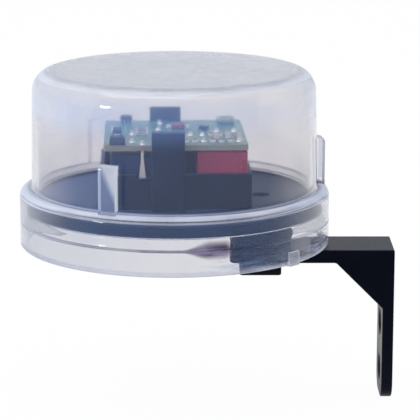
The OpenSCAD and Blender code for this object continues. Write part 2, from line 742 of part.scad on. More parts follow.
module driver_transistor() color([0.15, 0.16, 0.2]) on_axis()
    translate([driver_at.x, driver_at.y, top_z]) {
        translate([-driver_l / 2, -driver_w / 2, body_lift])
            cube([driver_l, driver_w, driver_h - body_lift]);
        for (p = [[-driver_l / 3, -1], [driver_l / 3, -1], [0, 1]])
            translate([p.x - leg_w / 2, p.y > 0 ? 0 : -driver_w / 2 - driver_leg, 0])
                cube([leg_w, driver_w / 2 + driver_leg, driver_h / 3]);
    }

// Chips laid flat on the board at [x, y, turn]
module flat_chips(spots, l, w, t) {
    for (p = spots) translate([p.x, p.y, top_z]) rotate(p.z)
        translate([-l / 2, -w / 2, 0]) cube([l, w, t]);
}

module chip_resistors() color([0.2, 0.22, 0.24]) on_axis()
    flat_chips(concat(front_row, rear_row, resistor_bank), resistor_l, resistor_w, resistor_t);

module chip_capacitors() color([0.7, 0.62, 0.5]) on_axis()
    flat_chips(ceramics, resistor_l, resistor_w, ceramic_t);

module solder_joints() color([0.78, 0.8, 0.82]) on_axis()
    for (p = lead_spots) translate([p.x, p.y, top_z]) difference() {
        cylinder(d1 = joint_d, d2 = joint_top, h = joint_h);
        translate([0, 0, -1]) cylinder(d = lead_d + 2 * lead_clear, h = joint_h + 2);
    }

clear_cover();
sealing_ring();
base();
clamp_nut();
bracket();
circuit_board();
relay();
film_capacitor();
smoothing_capacitor();
varistor();
surge_resistor();
wire_tags();
light_sensor();
control_chip();
chip_legs();
rectifier_diodes();
glass_diode();
driver_transistor();
chip_resistors();
chip_capacitors();
solder_joints();
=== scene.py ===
# Photocell switch: a clear moulded cover over a relay board, on a wall bracket
from functools import partial

import bmesh
import bpy
import numpy as np
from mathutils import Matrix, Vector


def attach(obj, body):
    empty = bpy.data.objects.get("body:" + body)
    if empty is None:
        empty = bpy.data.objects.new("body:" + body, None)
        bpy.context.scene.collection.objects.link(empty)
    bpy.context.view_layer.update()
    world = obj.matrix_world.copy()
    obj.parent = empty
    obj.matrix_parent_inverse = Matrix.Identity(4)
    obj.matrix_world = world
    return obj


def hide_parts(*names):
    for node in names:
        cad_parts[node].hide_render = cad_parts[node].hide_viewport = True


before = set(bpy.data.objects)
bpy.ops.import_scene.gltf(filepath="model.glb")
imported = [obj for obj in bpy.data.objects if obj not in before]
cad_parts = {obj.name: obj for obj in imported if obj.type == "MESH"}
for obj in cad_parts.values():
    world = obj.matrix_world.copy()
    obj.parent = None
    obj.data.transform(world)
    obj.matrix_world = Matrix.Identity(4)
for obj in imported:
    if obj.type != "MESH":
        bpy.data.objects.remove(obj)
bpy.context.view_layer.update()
print("frame loaded:", len(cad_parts), "nodes")

mm = 0.001
stemSeat = np.array([-38.9, 0.0, 32.0])  # mm, stem's axis at the height of the skirt's lower edge
stemFromCover = np.array([25.1, 0, 0])   # mm, the stem seen from the cover's axis
baseTurn = 2.4                           # degrees by which the base and the cover are turned about the stem
deckZ, boardZ, topZ = 13.5, 30.5, 32.1   # mm above the skirt's lower edge: deck, board's underside and top

# small tools


def linearColour(tone):
    # sRGB hex, or a grey level that is linear already, as the linear colour that the shaders work in
    if not isinstance(tone, str):
        return (tone, tone, tone, 1.0)
    c = np.array([int(tone[i:i + 2], 16) for i in (1, 3, 5)]) / 255
    c = np.where(c <= 0.04045, c / 12.92, ((c + 0.055) / 1.055) ** 2.4)
    return (*c.tolist(), 1.0)


def addNode(tree, kind, *values, **settings):
    # settings go to the node or to the socket of that name, and values to its live sockets in order; a socket
    # takes a value, a colour, or a socket or node to link to it: a node links by its first live output
    node = tree.nodes.new("ShaderNode" + kind)
    sockets = {key: value for key, value in settings.items() if key in node.inputs}
    for key in [key for key in settings if key not in sockets]:
        setattr(node, key, settings[key])
    live = [socket for socket in node.inputs if socket.enabled]
    given = [*zip(live, values), *((node.inputs[key], value) for key, value in sockets.items())]
    for socket, value in given:
        if isinstance(value, bpy.types.Node):
            value = next(output for output in value.outputs if output.enabled)
        if isinstance(value, bpy.types.NodeSocket):
            tree.links.new(value, socket)
        else:
            socket.default_value = linearColour(value) if socket.type == "RGBA" else value
    return node


def newMaterial(name):
    # an empty material, addNode for its tree, and its object coordinates
    material = bpy.data.materials.new(name)
    material.use_nodes = True
    material.node_tree.nodes.clear()
    add = partial(addNode, material.node_tree)
    return material, add, add("TexCoord").outputs["Object"]


def turnBy(degrees):
    # matrix that turns rows of points about the z axis
    c, s = np.cos(np.radians(degrees)), np.sin(np.radians(degrees))
    return np.array([[c, s, 0], [-s, c, 0], [0, 0, 1]])


def seated(points):
    # from mm about the cover's axis to metres in the object's frame
    return ((np.asarray(points) - stemFromCover) @ turnBy(baseTurn) + stemSeat) * mm


def stackLoops(loops):
    # closed loops, counterclockwise and from the lowest up, joined by quads and capped at both ends
    levels, around = loops.shape[:2]
    row, col = np.meshgrid(np.arange(levels - 1), np.arange(around), indexing="ij")
    nextCol = (col + 1) % around
    quads = np.stack([row * around + col, row * around + nextCol,
                      (row + 1) * around + nextCol, (row + 1) * around + col], -1).reshape(-1, 4).tolist()
    caps = [list(range(around))[::-1], list(range((levels - 1) * around, levels * around))]
    return loops.reshape(-1, 3), quads + caps


def levelled(outlines, heights):
    # flat outlines with the same number of points, each set at its height, joined into one body
    return stackLoops(np.stack([np.c_[p, np.full(len(p), z)] for p, z in zip(outlines, heights)]))


def roundedLoop(halfX, halfY, radius, steps=5):
    # rectangle with four quarter circles about its corner centres
    turn = np.radians(np.arange(4)[:, None] * 90 + np.linspace(0, 90, steps)[None])
    x = np.array([1, -1, -1, 1])[:, None] * (halfX - radius) + radius * np.cos(turn)
    y = np.array([1, 1, -1, -1])[:, None] * (halfY - radius) + radius * np.sin(turn)
    return np.stack([x, y], -1).reshape(-1, 2)


def roundedEnds(halfHeight, edge, below, above):
    # insets edge * (1 - cos t) and heights edge * sin t of the loops that round a body off at both ends
    tilt = np.radians(np.concatenate([np.linspace(-90, 0, below), np.linspace(0, 90, above)]))
    end = np.repeat([-1, 1], [below, above])
    return edge * (1 - np.cos(tilt)), end * (halfHeight - edge) + edge * np.sin(tilt)


def roundedBlock(centre, size, corner, edge, steps=4, leastRound=0.02):
    # block with rounded upright corners and rounded upper and lower edges
    half = np.asarray(size) / 2
    inset, rise = roundedEnds(half[2], edge, steps, steps)
    loops = [roundedLoop(half[0] - i, half[1] - i, max(corner - i, leastRound)) for i in inset]
    return carried(levelled(loops, rise), centre)


def revolved(profile, around=40):
    # (radius, height) points from the lowest up, turned about the z axis
    turn = np.linspace(0, 2 * np.pi, around, endpoint=False)
    r, z = np.asarray(profile, float).T
    return stackLoops(np.stack([r[:, None] * np.cos(turn), r[:, None] * np.sin(turn),
                                np.repeat(z[:, None], around, 1)], -1))


def carried(part, centre, heading=0.0, along="z"):
    # lays a part's z axis along x, y or z, turns it about the board's normal and moves it into place
    points, faces = part
    points = {"z": points, "x": points[:, [2, 0, 1]], "y": points[:, [1, 2, 0]]}[along]
    return points @ turnBy(heading) + np.asarray(centre), faces


def bentTube(path, radius, around=12):
    # round wire along a path in one upright plane: each loop lies square to the path
    path = np.asarray(path, float)
    run = np.gradient(path, axis=0)
    run /= np.linalg.norm(run, axis=1)[:, None]
    flat = np.array([0.0, 1.0, 0.0])
    side = np.cross(run, flat)
    turn = np.linspace(0, 2 * np.pi, around, endpoint=False)
    ring = np.cos(turn)[None, :, None] * side[:, None] + np.sin(turn)[None, :, None] * flat
    loops = path[:, None] + radius * ring
    return stackLoops(loops[:, ::-1] if np.cross(side[0], flat) @ run[0] < 0 else loops)


def flatStrip(path, width, low, high):
    # strip of even width along a bent line: both edges offset along the mitre of neighbouring runs
    path = np.asarray(path, float)
    run = np.diff(path, axis=0)
    run /= np.linalg.norm(run, axis=1)[:, None]
    before, after = np.vstack([run[:1], run]), np.vstack([run, run[-1:]])
    normal = np.stack([-(before + after)[:, 1], (before + after)[:, 0]], 1)
    normal /= (1 + (before * after).sum(1))[:, None]
    outline = np.vstack([path - normal * width / 2, (path + normal * width / 2)[::-1]])
    return levelled([outline, outline], (low, high))


# cut tinned wire: foot and tip as (share of the radius, mm from that end)
wire = {"d": 0.8, "foot": [(0.7, 0), (1, 0.12)], "tip": [(1, 0.2), (0.8, 0.06), (0.3, 0)]}


def straightLead(spot, low, high, diameter=wire["d"]):
    # a revolved line, nipped at its foot and rounded at its tip
    r, h = diameter / 2, high - low
    profile = [(r * share, z) for share, z in wire["foot"]] + [(r * share, h - z) for share, z in wire["tip"]]
    return carried(revolved(profile, 14), (*spot, low))


def makePiece(name, groups, nodes=(), sharp=32):
    # groups of (finish, parts), in mm about the cover's axis, joined into one mesh that rides on the object
    points, faces, slots, count = [], [], [], 0
    for index, (look, parts) in enumerate(groups):
        for part, quads in parts:
            points.append(part)
            faces += [[i + count for i in face] for face in quads]
            slots += [index] * len(quads)
            count += len(part)
    mesh = bpy.data.meshes.new(name)
    mesh.from_pydata(seated(np.concatenate(points)), [], faces)
    for look, parts in groups:
        mesh.materials.append(finish[look])
    mesh.polygons.foreach_set("material_index", np.array(slots, np.int32))
    return finishPiece(name, mesh, nodes, sharp)


def finishPiece(name, mesh, nodes, sharp):
    # smooth shading up to the sharp angle in degrees, and the piece's place in the frame
    mesh.update()
    mesh.shade_smooth()
    mesh.set_sharp_from_angle(angle=np.radians(sharp))
    piece = bpy.data.objects.new(name, mesh)
    bpy.context.scene.collection.objects.link(piece)
    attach(piece, "root")
    if nodes:
        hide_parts(*nodes)
    return piece


softening = {"merge": 0.002, "flat": 0.6, "sharp": 32, "edgeFrom": 40, "segments": 2}  # mm, then degrees


def softenedCopy(node, name, look, edge):
    # copy of a node with its triangles merged into whole faces and its edges rounded, as a mould leaves them
    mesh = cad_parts[node].data.copy()
    mesh.name = name
    work = bmesh.new()
    work.from_mesh(mesh)
    bmesh.ops.remove_doubles(work, verts=work.verts, dist=softening["merge"] * mm)
    flatAngle = np.radians(softening["flat"])
    bmesh.ops.dissolve_limit(work, angle_limit=flatAngle, verts=work.verts, edges=work.edges)
    work.to_mesh(mesh)
    work.free()
    mesh.materials.clear()
    mesh.materials.append(finish[look])
    piece = finishPiece(name, mesh, [node], softening["sharp"])
    rounding = piece.modifiers.new("moulded edges", "BEVEL")
    rounding.width = edge * mm
    rounding.segments = softening["segments"]
    rounding.limit_method = "ANGLE"
    rounding.angle_limit = np.radians(softening["edgeFrom"])
    rounding.use_clamp_overlap = False
    rounding.harden_normals = True


# camera and light

view = {"place": (-0.05365, -0.58364, 0.17183), "near": 0.01,  # m
        "pitchDown": 12.66, "lens": 174.97, "sensor": 36.0}    # degrees, mm

cameraData = bpy.data.cameras.new("photoCamera")
cameraData.lens = view["lens"]
cameraData.sensor_width = view["sensor"]
cameraData.clip_start = view["near"]
camera = bpy.data.objects.new("photoCamera", cameraData)
camera.location = view["place"]
camera.rotation_euler = (np.radians(90 - view["pitchDown"]), 0, 0)
bpy.context.scene.collection.objects.link(camera)
bpy.context.scene.camera = camera
bpy.context.scene.view_settings.view_transform = "Standard"

studio = {
    "white": "#ffffff",         # what the camera and glass see behind the object
    "ambient": "#e2e5ec",       # soft fill from behind and above
    "front": "#f4f6fd",         # soft fill from the camera's side, which gloss doesn't see
    "glossFront": "#7d8bb0",    # what gloss sees of the room in front and behind
    "glossBehind": "#d6dae4",
    "turnover": (-0.9, 0.1),    # y of the direction, over which the front of the room passes to the back
    "paper": "#f2f2f4",
    "table": "#5a6a90",         # what gloss sees of the paper in front
    "tableY": (0.05, -0.1),     # m, over which the paper passes to that
    "floorZ": -0.0155,          # m, just under the bracket's leg
    "floorHalf": 4.0,
    "floorWhite": 0.97,         # share of plain white in the floor's look, the rest takes the shadow
    "lamps": [                  # name, place, aimed at, size x, size y, watts
        ("topSoftbox", (-0.25, 0.05, 1.15), (-0.055, 0, 0.03), 0.9, 0.9, 4.0),
        ("leftLamp", (-0.754, -0.492, 0.15), (-0.064, 0, 0.07), 0.12, 0.10, 1.2),
    ],
}


def lightStudio():
    # soft fill and two lamps light the object, while the camera, glass and gloss see plain fields
    world = bpy.data.worlds.new("studioWorld")
    bpy.context.scene.world = world
    world.use_nodes = True
    world.node_tree.nodes.clear()
    add = partial(addNode, world.node_tree)
    axes = add("SeparateXYZ", add("TexCoord").outputs["Generated"]).outputs
    behind = add("MapRange", axes["Y"], *studio["turnover"], interpolation_type="SMOOTHSTEP")
    fill, gloss = [add("Mix", behind, studio[front], studio[back], data_type="RGBA")
                   for front, back in (("front", "ambient"), ("glossFront", "glossBehind"))]
    rays = add("LightPath").outputs
    straight = add("Math", rays["Is Camera Ray"], rays["Is Transmission Ray"], operation="MAXIMUM")
    room = add("Mix", rays["Is Glossy Ray"], fill, gloss, data_type="RGBA")
    seen = add("Mix", straight, room, studio["white"], data_type="RGBA")
    light = add("Background", seen, 1.0)
    add("OutputWorld", light)
    for name, place, aim, sizeX, sizeY, watts in studio["lamps"]:
        lampData = bpy.data.lights.new(name, "AREA")
        lampData.shape = "RECTANGLE"
        lampData.size, lampData.size_y, lampData.energy = sizeX, sizeY, watts
        lamp = bpy.data.objects.new(name, lampData)
        lamp.location = place
        lamp.rotation_euler = (Vector(aim) - Vector(place)).to_track_quat("-Z", "Y").to_euler()
        bpy.context.scene.collection.objects.link(lamp)


def layFloor():
    # pale paper sweep: white to the eye and through glass, with some of its own shade left in it
    material, add, place = newMaterial("palePaper")
    paper = add("BsdfDiffuse", studio["paper"])
    white = add("Emission", studio["white"], 1.0)
    rays = add("LightPath").outputs
    seen = add("Math", rays["Is Camera Ray"], rays["Is Transmission Ray"], operation="MAXIMUM")
    seen = add("Math", seen, studio["floorWhite"], operation="MULTIPLY")
    mixed = add("MixShader", seen, paper, white)
    mirrored = add("Math", rays["Is Glossy Ray"], rays["Is Transmission Ray"], operation="GREATER_THAN")
    axes = add("SeparateXYZ", place).outputs
    inFront = add("MapRange", axes["Y"], *studio["tableY"])
    shown = add("Mix", inFront, studio["white"], studio["table"], data_type="RGBA")
    mirror = add("Emission", shown, 1.0)
    mixed = add("MixShader", mirrored, mixed, mirror)
    # from below the paper is clear, so that the underside can be seen
    side = add("NewGeometry")
    clear = add("BsdfTransparent")
    mixed = add("MixShader", side.outputs["Backfacing"], mixed, clear)
    add("OutputMaterial", mixed)
    half, z = studio["floorHalf"], studio["floorZ"]
    mesh = bpy.data.meshes.new("floor")
    corners = [(x * half, y * half, z) for x, y in ((-1, -1), (1, -1), (1, 1), (-1, 1))]
    mesh.from_pydata(corners, [], [(0, 1, 2, 3)])
    mesh.materials.append(material)
    floor = bpy.data.objects.new("floor", mesh)
    bpy.context.scene.collection.objects.link(floor)


lightStudio()
layFloor()
print("camera, light and floor set")

# finishes

noiseSpan = (0.3, 0.7)          # most of a noise lies between these
cloudGrains = 9                 # width of a moulding's clouds in grains
dust = {"tilt": (0.7, 0.98),    # upward part of the normal, at which dust starts to lie and covers fully
        "x": (-95, -35), "thin": 0.2}  # mm over which the dust colour fades towards the right, lighter on the left, and the share left there


def mouldedSurface(name, dark, light, grainMm, rough, bumpMm, settings=None, dustTint=None):
    # a moulded or dipped skin: cloudy colour between two shades, gloss that varies with the grain, and a fine
    # texture; fine dust may lie on what faces up, laid on more strongly towards the left
    material, add, place = newMaterial(name)
    cloud, grain = [add("TexNoise", place, Scale=1 / (size * mm), Detail=detail)
                    for size, detail in ((grainMm * cloudGrains, 3.0), (grainMm, 2.0))]
    colour = add("Mix", cloud, dark, light, data_type="RGBA")
    if dustTint:
        normal = add("SeparateXYZ", add("NewGeometry").outputs["Normal"]).outputs
        covered = add("MapRange", normal["Z"], *dust["tilt"])
        axes = add("SeparateXYZ", place).outputs
        # the dust colour is stronger towards the left: upward faces turn lighter and bluer on that side
        lighterToLeft = add("MapRange", axes["X"], *(x * mm for x in dust["x"]), 1.0, dust["thin"])
        covered = add("Math", covered, lighterToLeft, operation="MULTIPLY")
        colour = add("Mix", covered, colour, dustTint, data_type="RGBA")
    gloss = add("MapRange", grain, *noiseSpan, *rough)
    relief = add("Bump", Strength=0.6, Distance=bumpMm * mm, Height=grain)
    skin = add("BsdfPrincipled", colour, Roughness=gloss, Normal=relief, **(settings or {}))
    add("OutputMaterial", skin)
    return material


def rampOver(add, along, stops, span):
    # ramp along a socket that goes from 0 to 1 over the span, with a grey level or a colour at each stop
    ramp = add("ValToRGB", along)
    points = ramp.color_ramp.elements
    points.remove(points[1])
    for at, tone in stops:
        point = points[0] if at == 0 else points.new(at / span)
        point.color = linearColour(tone)
    return ramp


haze = {
    "foot": 32.0, "tall": 50.7, "axis": (-63.978, -1.051),  # mm, the cover's place in the object's frame
    "shade": "#f3f4f8",  # what lamps and bounced light keep of their colour on the way through
    # over the height in mm: what the clear wall passes, how milky it is, the milk's colour and how much of it
    # is lit from this side; then the milk and the clear wall seen along the wall, and the roughness
    "body": [(0, "#e9e7e6"), (15, "#e9e7e6"), (17.5, "#f0eded"), (34, "#f1eeed"), (41, "#fff9ee"),
             (46, "#fbf7f2"), (49.5, "#f2f0ef")],
    # the white milk at the step, 14.75 to 16.52 mm, with its pale tint and larger lit share, is a painted
    # highlight for the light that the thick step refracts and reflects
    "milk": [(0, 0.4), (0.9, 0.4), (1.2, 0.08), (7.05, 0.08), (7.1, 0.5), (7.45, 0.5), (7.5, 0.095),
             (14.6, 0.095), (14.75, 0.4), (15.0, 0.4), (15.15, 0.12), (15.5, 0.12), (15.7, 0.44),
             (16.52, 0.44), (16.6, 0.046), (34, 0.046), (41, 0.17), (45, 0.17), (48.8, 0.15), (49.3, 0.34),
             (49.9, 0.34), (50.68, 0.075)],
    "tint": [(0, "#f0f3fc"), (0.9, "#f0f3fc"), (1.2, "#8ab6ff"), (7.05, "#8ab6ff"), (7.1, "#3a3850"),
             (7.45, "#3a3850"), (7.5, "#8ab6ff"), (14.6, "#8ab6ff"), (14.75, "#e6ebf9"), (16.52, "#e6ebf9"),
             (16.6, "#8ab6ff"), (34, "#8ab6ff"), (41, "#8cb9ff"), (45, "#9cc0fb"), (48.8, "#c4d3f6"),
             (49.3, "#f2f5fb"), (49.9, "#f2f5fb"), (50.68, "#cdd3e4")],
    "lit": [(0, 0.5), (14.6, 0.5), (14.75, 0.85), (16.52, 0.85), (16.6, 0.5), (34, 0.5), (41, 0.8),
            (49.9, 0.75), (50.68, 0.5)],
    "limb": [(0, "#d4d9e6"), (17, "#d4d9e6"), (18, "#e2e5ee")],
    "limbBody": [(0, "#c2c7d3"), (17, "#c2c7d3"), (18, "#d6d7de")],
    "rough": [(0, 0.02), (14.4, 0.02), (14.7, 0.18), (17.3, 0.18), (17.7, 0.07), (27, 0.1), (40, 0.12),
              (47, 0.14)],
    # across the front lug, over z + slope * x in mm: painted refraction, bluish below and turning white along
    # a slant where the lug would show the white background
    "slope": 2.3, "slant": (-145.1, -119.7),
    "lugRefractionMilk": [(0, 0.42), (0.5, 0.46), (0.66, 0.75), (1, 0.8)],
    "lugRefractionTint": [(0, "#a4b9e6"), (0.5, "#acc0ea"), (0.66, "#eef3fd"), (1, "#f4f7ff")],
    # where a region begins: what is measured, and the limit in mm
    "limits": {"pastWall": ("radius", "GREATER_THAN", 42.0), "tab": ("radius", "GREATER_THAN", 45.15),
               "pastStep": ("height", "GREATER_THAN", 17.4), "onTop": ("height", "GREATER_THAN", 49.3),
               "forward": ("y", "LESS_THAN", -20), "aside": ("x", "GREATER_THAN", -30)},
    # how a share changes: what is measured, from and to in mm, and the share at both
    # the front share is a painted highlight: more milk towards the front stands in for reflected lamp light;
    # the left share makes the milk stronger towards the left
    "fades": {"frontHighlight": ("y", 5, -20, 0.3, 1.0), "milkierLeft": ("x", -105, -25, 1.3, 0.75),
              "wallOnly": ("height", 48.5, 43, 0.0, 1.0), "low": ("height", 7.0, 0.0, 0.0, 1.0),
              "tabSide": ("x", -58, -46, 0.0, 1.0),
              "paintedRefractionLeft": ("x", -77, -71, 0.0, 1.0), "paintedRefractionRight": ("x", -47.2, -49.6, 0.0, 1.0)},
    # regions that are shares multiplied together
    "products": {"lug": ("pastWall", "pastStep"), "sideLug": ("lug", "aside"), "frontLug": ("lug", "forward"),
                 "frontHighlightLeft": ("frontHighlight", "milkierLeft"), "scuffed": ("streaky", "low", "tabSide", "frontHighlightLeft"),
                 "paintedRefractionMask": ("spindle", "paintedRefractionLeft", "paintedRefractionRight", "forward")},
    "sideMilk": 0.2, "sideTint": "#bccae8", "tabMilk": 0.3, "tabTint": "#eef2fb",
    # long fine scuffs along the lower edge, on the side of the tab: a streak's size in mm, noise it shows at
    "streak": (9, 9, 0.8), "scuffAt": (0.5, 0.62), "scuff": 0.55, "scuffMilk": 0.8, "scuffTint": "#f4f6fc",
    # painted refraction of the parts inside, as a streaky dark band along the bead: height, then x from and
    # to and half its width there, all in mm
    "paintedRefractionZ": 7.2, "paintedRefractionGirth": (-61.5, -53.5, 0.3, 2.7), "paintedRefractionFull": 1.6, "paintedRefractionMilk": 0.8,
    "paintedRefractionAt": (0.38, 0.64), "paintedRefractionTints": ("#40325e", "#aea3c6"), "paintedRefractionGain": 8.0,
    # the milk whitens and thickens on walls that are seen at a slant, and varies in clouds
    "whitens": (0.12, 0.55, 0.0, 0.92), "thickens": 5.0, "flow": 14, "clouds": (0.85, 1.15), "ripple": 0.02,
}


def coverRegions(add, place, axes, height):
    # shares from 0 to 1 over the cover, by the limits, fades and products above, and the streaks' noise
    off = [add("Math", axes[axis], middle * mm, operation="SUBTRACT")
           for axis, middle in zip("XY", haze["axis"])]
    radius = add("VectorMath", add("CombineXYZ", *off), operation="LENGTH")
    measures = {"x": (axes["X"], mm), "y": (axes["Y"], mm), "radius": (radius, mm),
                "height": (height, 1 / haze["tall"])}
    share = {}
    for name, (measure, test, limit) in haze["limits"].items():
        socket, unit = measures[measure]
        share[name] = add("Math", socket, limit * unit, operation=test)
    for name, (measure, start, end, first, last) in haze["fades"].items():
        socket, unit = measures[measure]
        share[name] = add("MapRange", socket, start * unit, end * unit, first, last)
    drawnOut = add("Mapping", place, Scale=[1 / size for size in haze["streak"]])
    streaks = add("TexNoise", drawnOut, Scale=1 / mm, Detail=3.0)
    share["streaky"] = add("MapRange", streaks, *haze["scuffAt"], 0.0, haze["scuff"])
    # the painted refraction is a spindle: full on the bead's line and gone at its girth
    offBead = add("Math", axes["Z"], (haze["foot"] + haze["paintedRefractionZ"]) * mm, operation="SUBTRACT")
    offBead = add("Math", offBead, operation="ABSOLUTE")
    girth = add("MapRange", axes["X"], *(size * mm for size in haze["paintedRefractionGirth"]),
                interpolation_type="SMOOTHSTEP")
    share["spindle"] = add("MapRange", offBead, girth, 0.0, 0.0, haze["paintedRefractionFull"])
    for name, factors in haze["products"].items():
        share[name] = share[factors[0]]
        for factor in factors[1:]:
            share[name] = add("Math", share[name], share[factor], operation="MULTIPLY")
    share["paintedRefractionTinted"] = add("Math", share["paintedRefractionMask"], haze["paintedRefractionGain"], operation="MULTIPLY", use_clamp=True)
    return share, streaks


def hazyPolycarbonate():
    # clear injection-moulded polycarbonate: it scatters blue and passes the warmer rest, and is milkier in
    # the upper part and in the side lugs;
    # the white milk at the step, in front and across the front lug is painted highlight and painted
    # refraction, and a dark streaky band along the bead is painted refraction of the parts inside
    material, add, place = newMaterial("hazyPolycarbonate")
    axes = add("SeparateXYZ", place).outputs
    height = add("MapRange", axes["Z"], haze["foot"] * mm, (haze["foot"] + haze["tall"]) * mm)
    leaning = add("Math", axes["X"], haze["slope"], axes["Z"], operation="MULTIPLY_ADD")
    across = add("MapRange", leaning, *(at * mm for at in haze["slant"]))
    ramps = {kind: rampOver(add, height, haze[kind], haze["tall"])
             for kind in ("body", "milk", "tint", "lit", "limb", "limbBody", "rough")}
    ramps.update({kind: rampOver(add, across, haze[kind], 1) for kind in ("lugRefractionMilk", "lugRefractionTint")})
    share, streaks = coverRegions(add, place, axes, height)
    # the walls are milkier in front, a painted highlight of the lamps' light on the step and walls, and
    # towards the left; the top is even; the other regions lie over that
    frontHighlightShare = add("Mix", share["onTop"], share["frontHighlightLeft"], 1.0)
    # dark to pale streaks: the colour of the painted refraction along the bead
    paintedRefractionStreaks = add("MapRange", streaks, *haze["paintedRefractionAt"])
    paintedRefractionTint = add("Mix", paintedRefractionStreaks, *haze["paintedRefractionTints"], data_type="RGBA")
    milk = add("Math", ramps["milk"], frontHighlightShare, operation="MULTIPLY")
    for region, level in (("frontLug", ramps["lugRefractionMilk"]), ("sideLug", haze["sideMilk"]),
                          ("tab", haze["tabMilk"]), ("scuffed", haze["scuffMilk"]),
                          ("paintedRefractionMask", haze["paintedRefractionMilk"])):
        milk = add("Mix", share[region], milk, level, data_type="RGBA")
    tint = ramps["tint"]
    for region, tone in (("frontLug", ramps["lugRefractionTint"]), ("scuffed", haze["scuffTint"]),
                         ("sideLug", haze["sideTint"]), ("tab", haze["tabTint"]), ("paintedRefractionTinted", paintedRefractionTint)):
        tint = add("Mix", share[region], tint, tone, data_type="RGBA")
    # seen along the wall, the haze scatters so often that it turns white, and there is more of it
    slant = add("LayerWeight", Blend=0.5).outputs["Facing"]
    whitened = add("MapRange", slant, *haze["whitens"])
    tint = add("Mix", whitened, tint, ramps["limb"], data_type="RGBA")
    steep = add("Math", slant, 2.0, operation="POWER")
    deeper = add("MapRange", steep, 0.0, 1.0, 1.0, haze["thickens"])
    flow = add("TexNoise", place, Scale=1 / (haze["flow"] * mm), Detail=2.0)
    cloudy = add("MapRange", flow, *noiseSpan, *haze["clouds"])
    thick = add("Math", cloudy, deeper, operation="MULTIPLY")
    milky = add("Math", milk, thick, operation="MULTIPLY", use_clamp=True)
    longWay = add("Math", steep, share["wallOnly"], operation="MULTIPLY")
    absorbing = add("Mix", longWay, ramps["body"], ramps["limbBody"], data_type="RGBA")
    relief = add("Bump", Strength=0.35, Distance=haze["ripple"] * mm, Height=flow)
    glass = add("BsdfPrincipled", absorbing, IOR=1.14, Roughness=ramps["rough"], Normal=relief,
                **{"Transmission Weight": 1.0, "Coat Weight": 1.0, "Coat Roughness": 0.04, "Coat IOR": 1.5})
    lit = add("BsdfDiffuse", tint)
    glowing = add("BsdfTranslucent", tint)
    veil = add("MixShader", ramps["lit"], glowing, lit)
    body = add("MixShader", milky, glass, veil)
    # lamps and bounced light go straight through, so that the board inside is lit
    rays = add("LightPath").outputs
    passing = add("Math", rays["Is Shadow Ray"], rays["Is Diffuse Ray"], operation="MAXIMUM")
    through = add("BsdfTransparent", haze["shade"])
    whole = add("MixShader", passing, body, through)
    add("OutputMaterial", whole)
    return material


# clouds in the lacquer and weave in the bare edge: size in mm, detail and two shades; roughness of edge, face
laminate = {"lacquer": (5, 3.0, "#3a6c62", "#55867c"), "fibre": (0.5, 2.0, "#88826f", "#9e9786"),
            "gloss": (0.6, 0.28), "flatFrom": 0.5}


def solderResist():
    # green lacquer on glass-fibre board: cloudy over the copper, with the pale yellow edge left bare
    material, add, place = newMaterial("solderResistBoard")
    tones = {}
    for layer in ("lacquer", "fibre"):
        size, detail, dark, light = laminate[layer]
        noise = add("TexNoise", place, Scale=1 / (size * mm), Detail=detail)
        tones[layer] = add("Mix", noise, dark, light, data_type="RGBA")
    normal = add("SeparateXYZ", add("NewGeometry").outputs["Normal"]).outputs
    upright = add("Math", normal["Z"], operation="ABSOLUTE")
    flat = add("Math", upright, laminate["flatFrom"], operation="GREATER_THAN")
    colour = add("Mix", flat, tones["fibre"], tones["lacquer"], data_type="RGBA")
    gloss = add("MapRange", flat, 0.0, 1.0, *laminate["gloss"])
    skin = add("BsdfPrincipled", colour, Roughness=gloss)
    add("OutputMaterial", skin)
    return material


def platedMetal(name, dark, light, grainMm, rough):
    # tin, solder or bare aluminium: bright metal with a slightly uneven, dulled skin
    material, add, place = newMaterial(name)
    cloud = add("TexNoise", place, Scale=1 / (grainMm * mm), Detail=3.0)
    colour = add("Mix", cloud, dark, light, data_type="RGBA")
    gloss = add("MapRange", cloud, *noiseSpan, *rough)
    skin = add("BsdfPrincipled", colour, Metallic=1.0, Roughness=gloss)
    add("OutputMaterial", skin)
    return material


rings = {"middleX": -75.15, "half": 4.5,  # mm, the resistor's middle in the object's frame, half its length
         "ground": "#8fa9b8", "grain": 0.8, "gloss": (0.25, 0.5),
         "bands": [(0.12, 0.21, "#5b3a22"), (0.36, 0.43, "#2a2a2e"), (0.53, 0.60, "#a4512a"),
                   (0.80, 0.88, "#9a8340")]}


def bandedLacquer():
    # pale blue resistor lacquer with dark rings, at set shares of the body's length
    material, add, place = newMaterial("resistorLacquer")
    axes = add("SeparateXYZ", place).outputs
    ends = [(rings["middleX"] + side * rings["half"]) * mm for side in (-1, 1)]
    span = add("MapRange", axes["X"], *ends)
    ramp = add("ValToRGB", span)
    ramp.color_ramp.interpolation = "CONSTANT"
    points = ramp.color_ramp.elements
    for start, end, tone in rings["bands"]:
        points.new(start).color = linearColour(tone)
        points.new(end).color = linearColour(rings["ground"])
    for index in (0, -1):
        points[index].color = linearColour(rings["ground"])
    cloud = add("TexNoise", place, Scale=1 / (rings["grain"] * mm))
    gloss = add("MapRange", cloud, 0.0, 1.0, *rings["gloss"])
    skin = add("BsdfPrincipled", ramp, Roughness=gloss)
    add("OutputMaterial", skin)
    return material


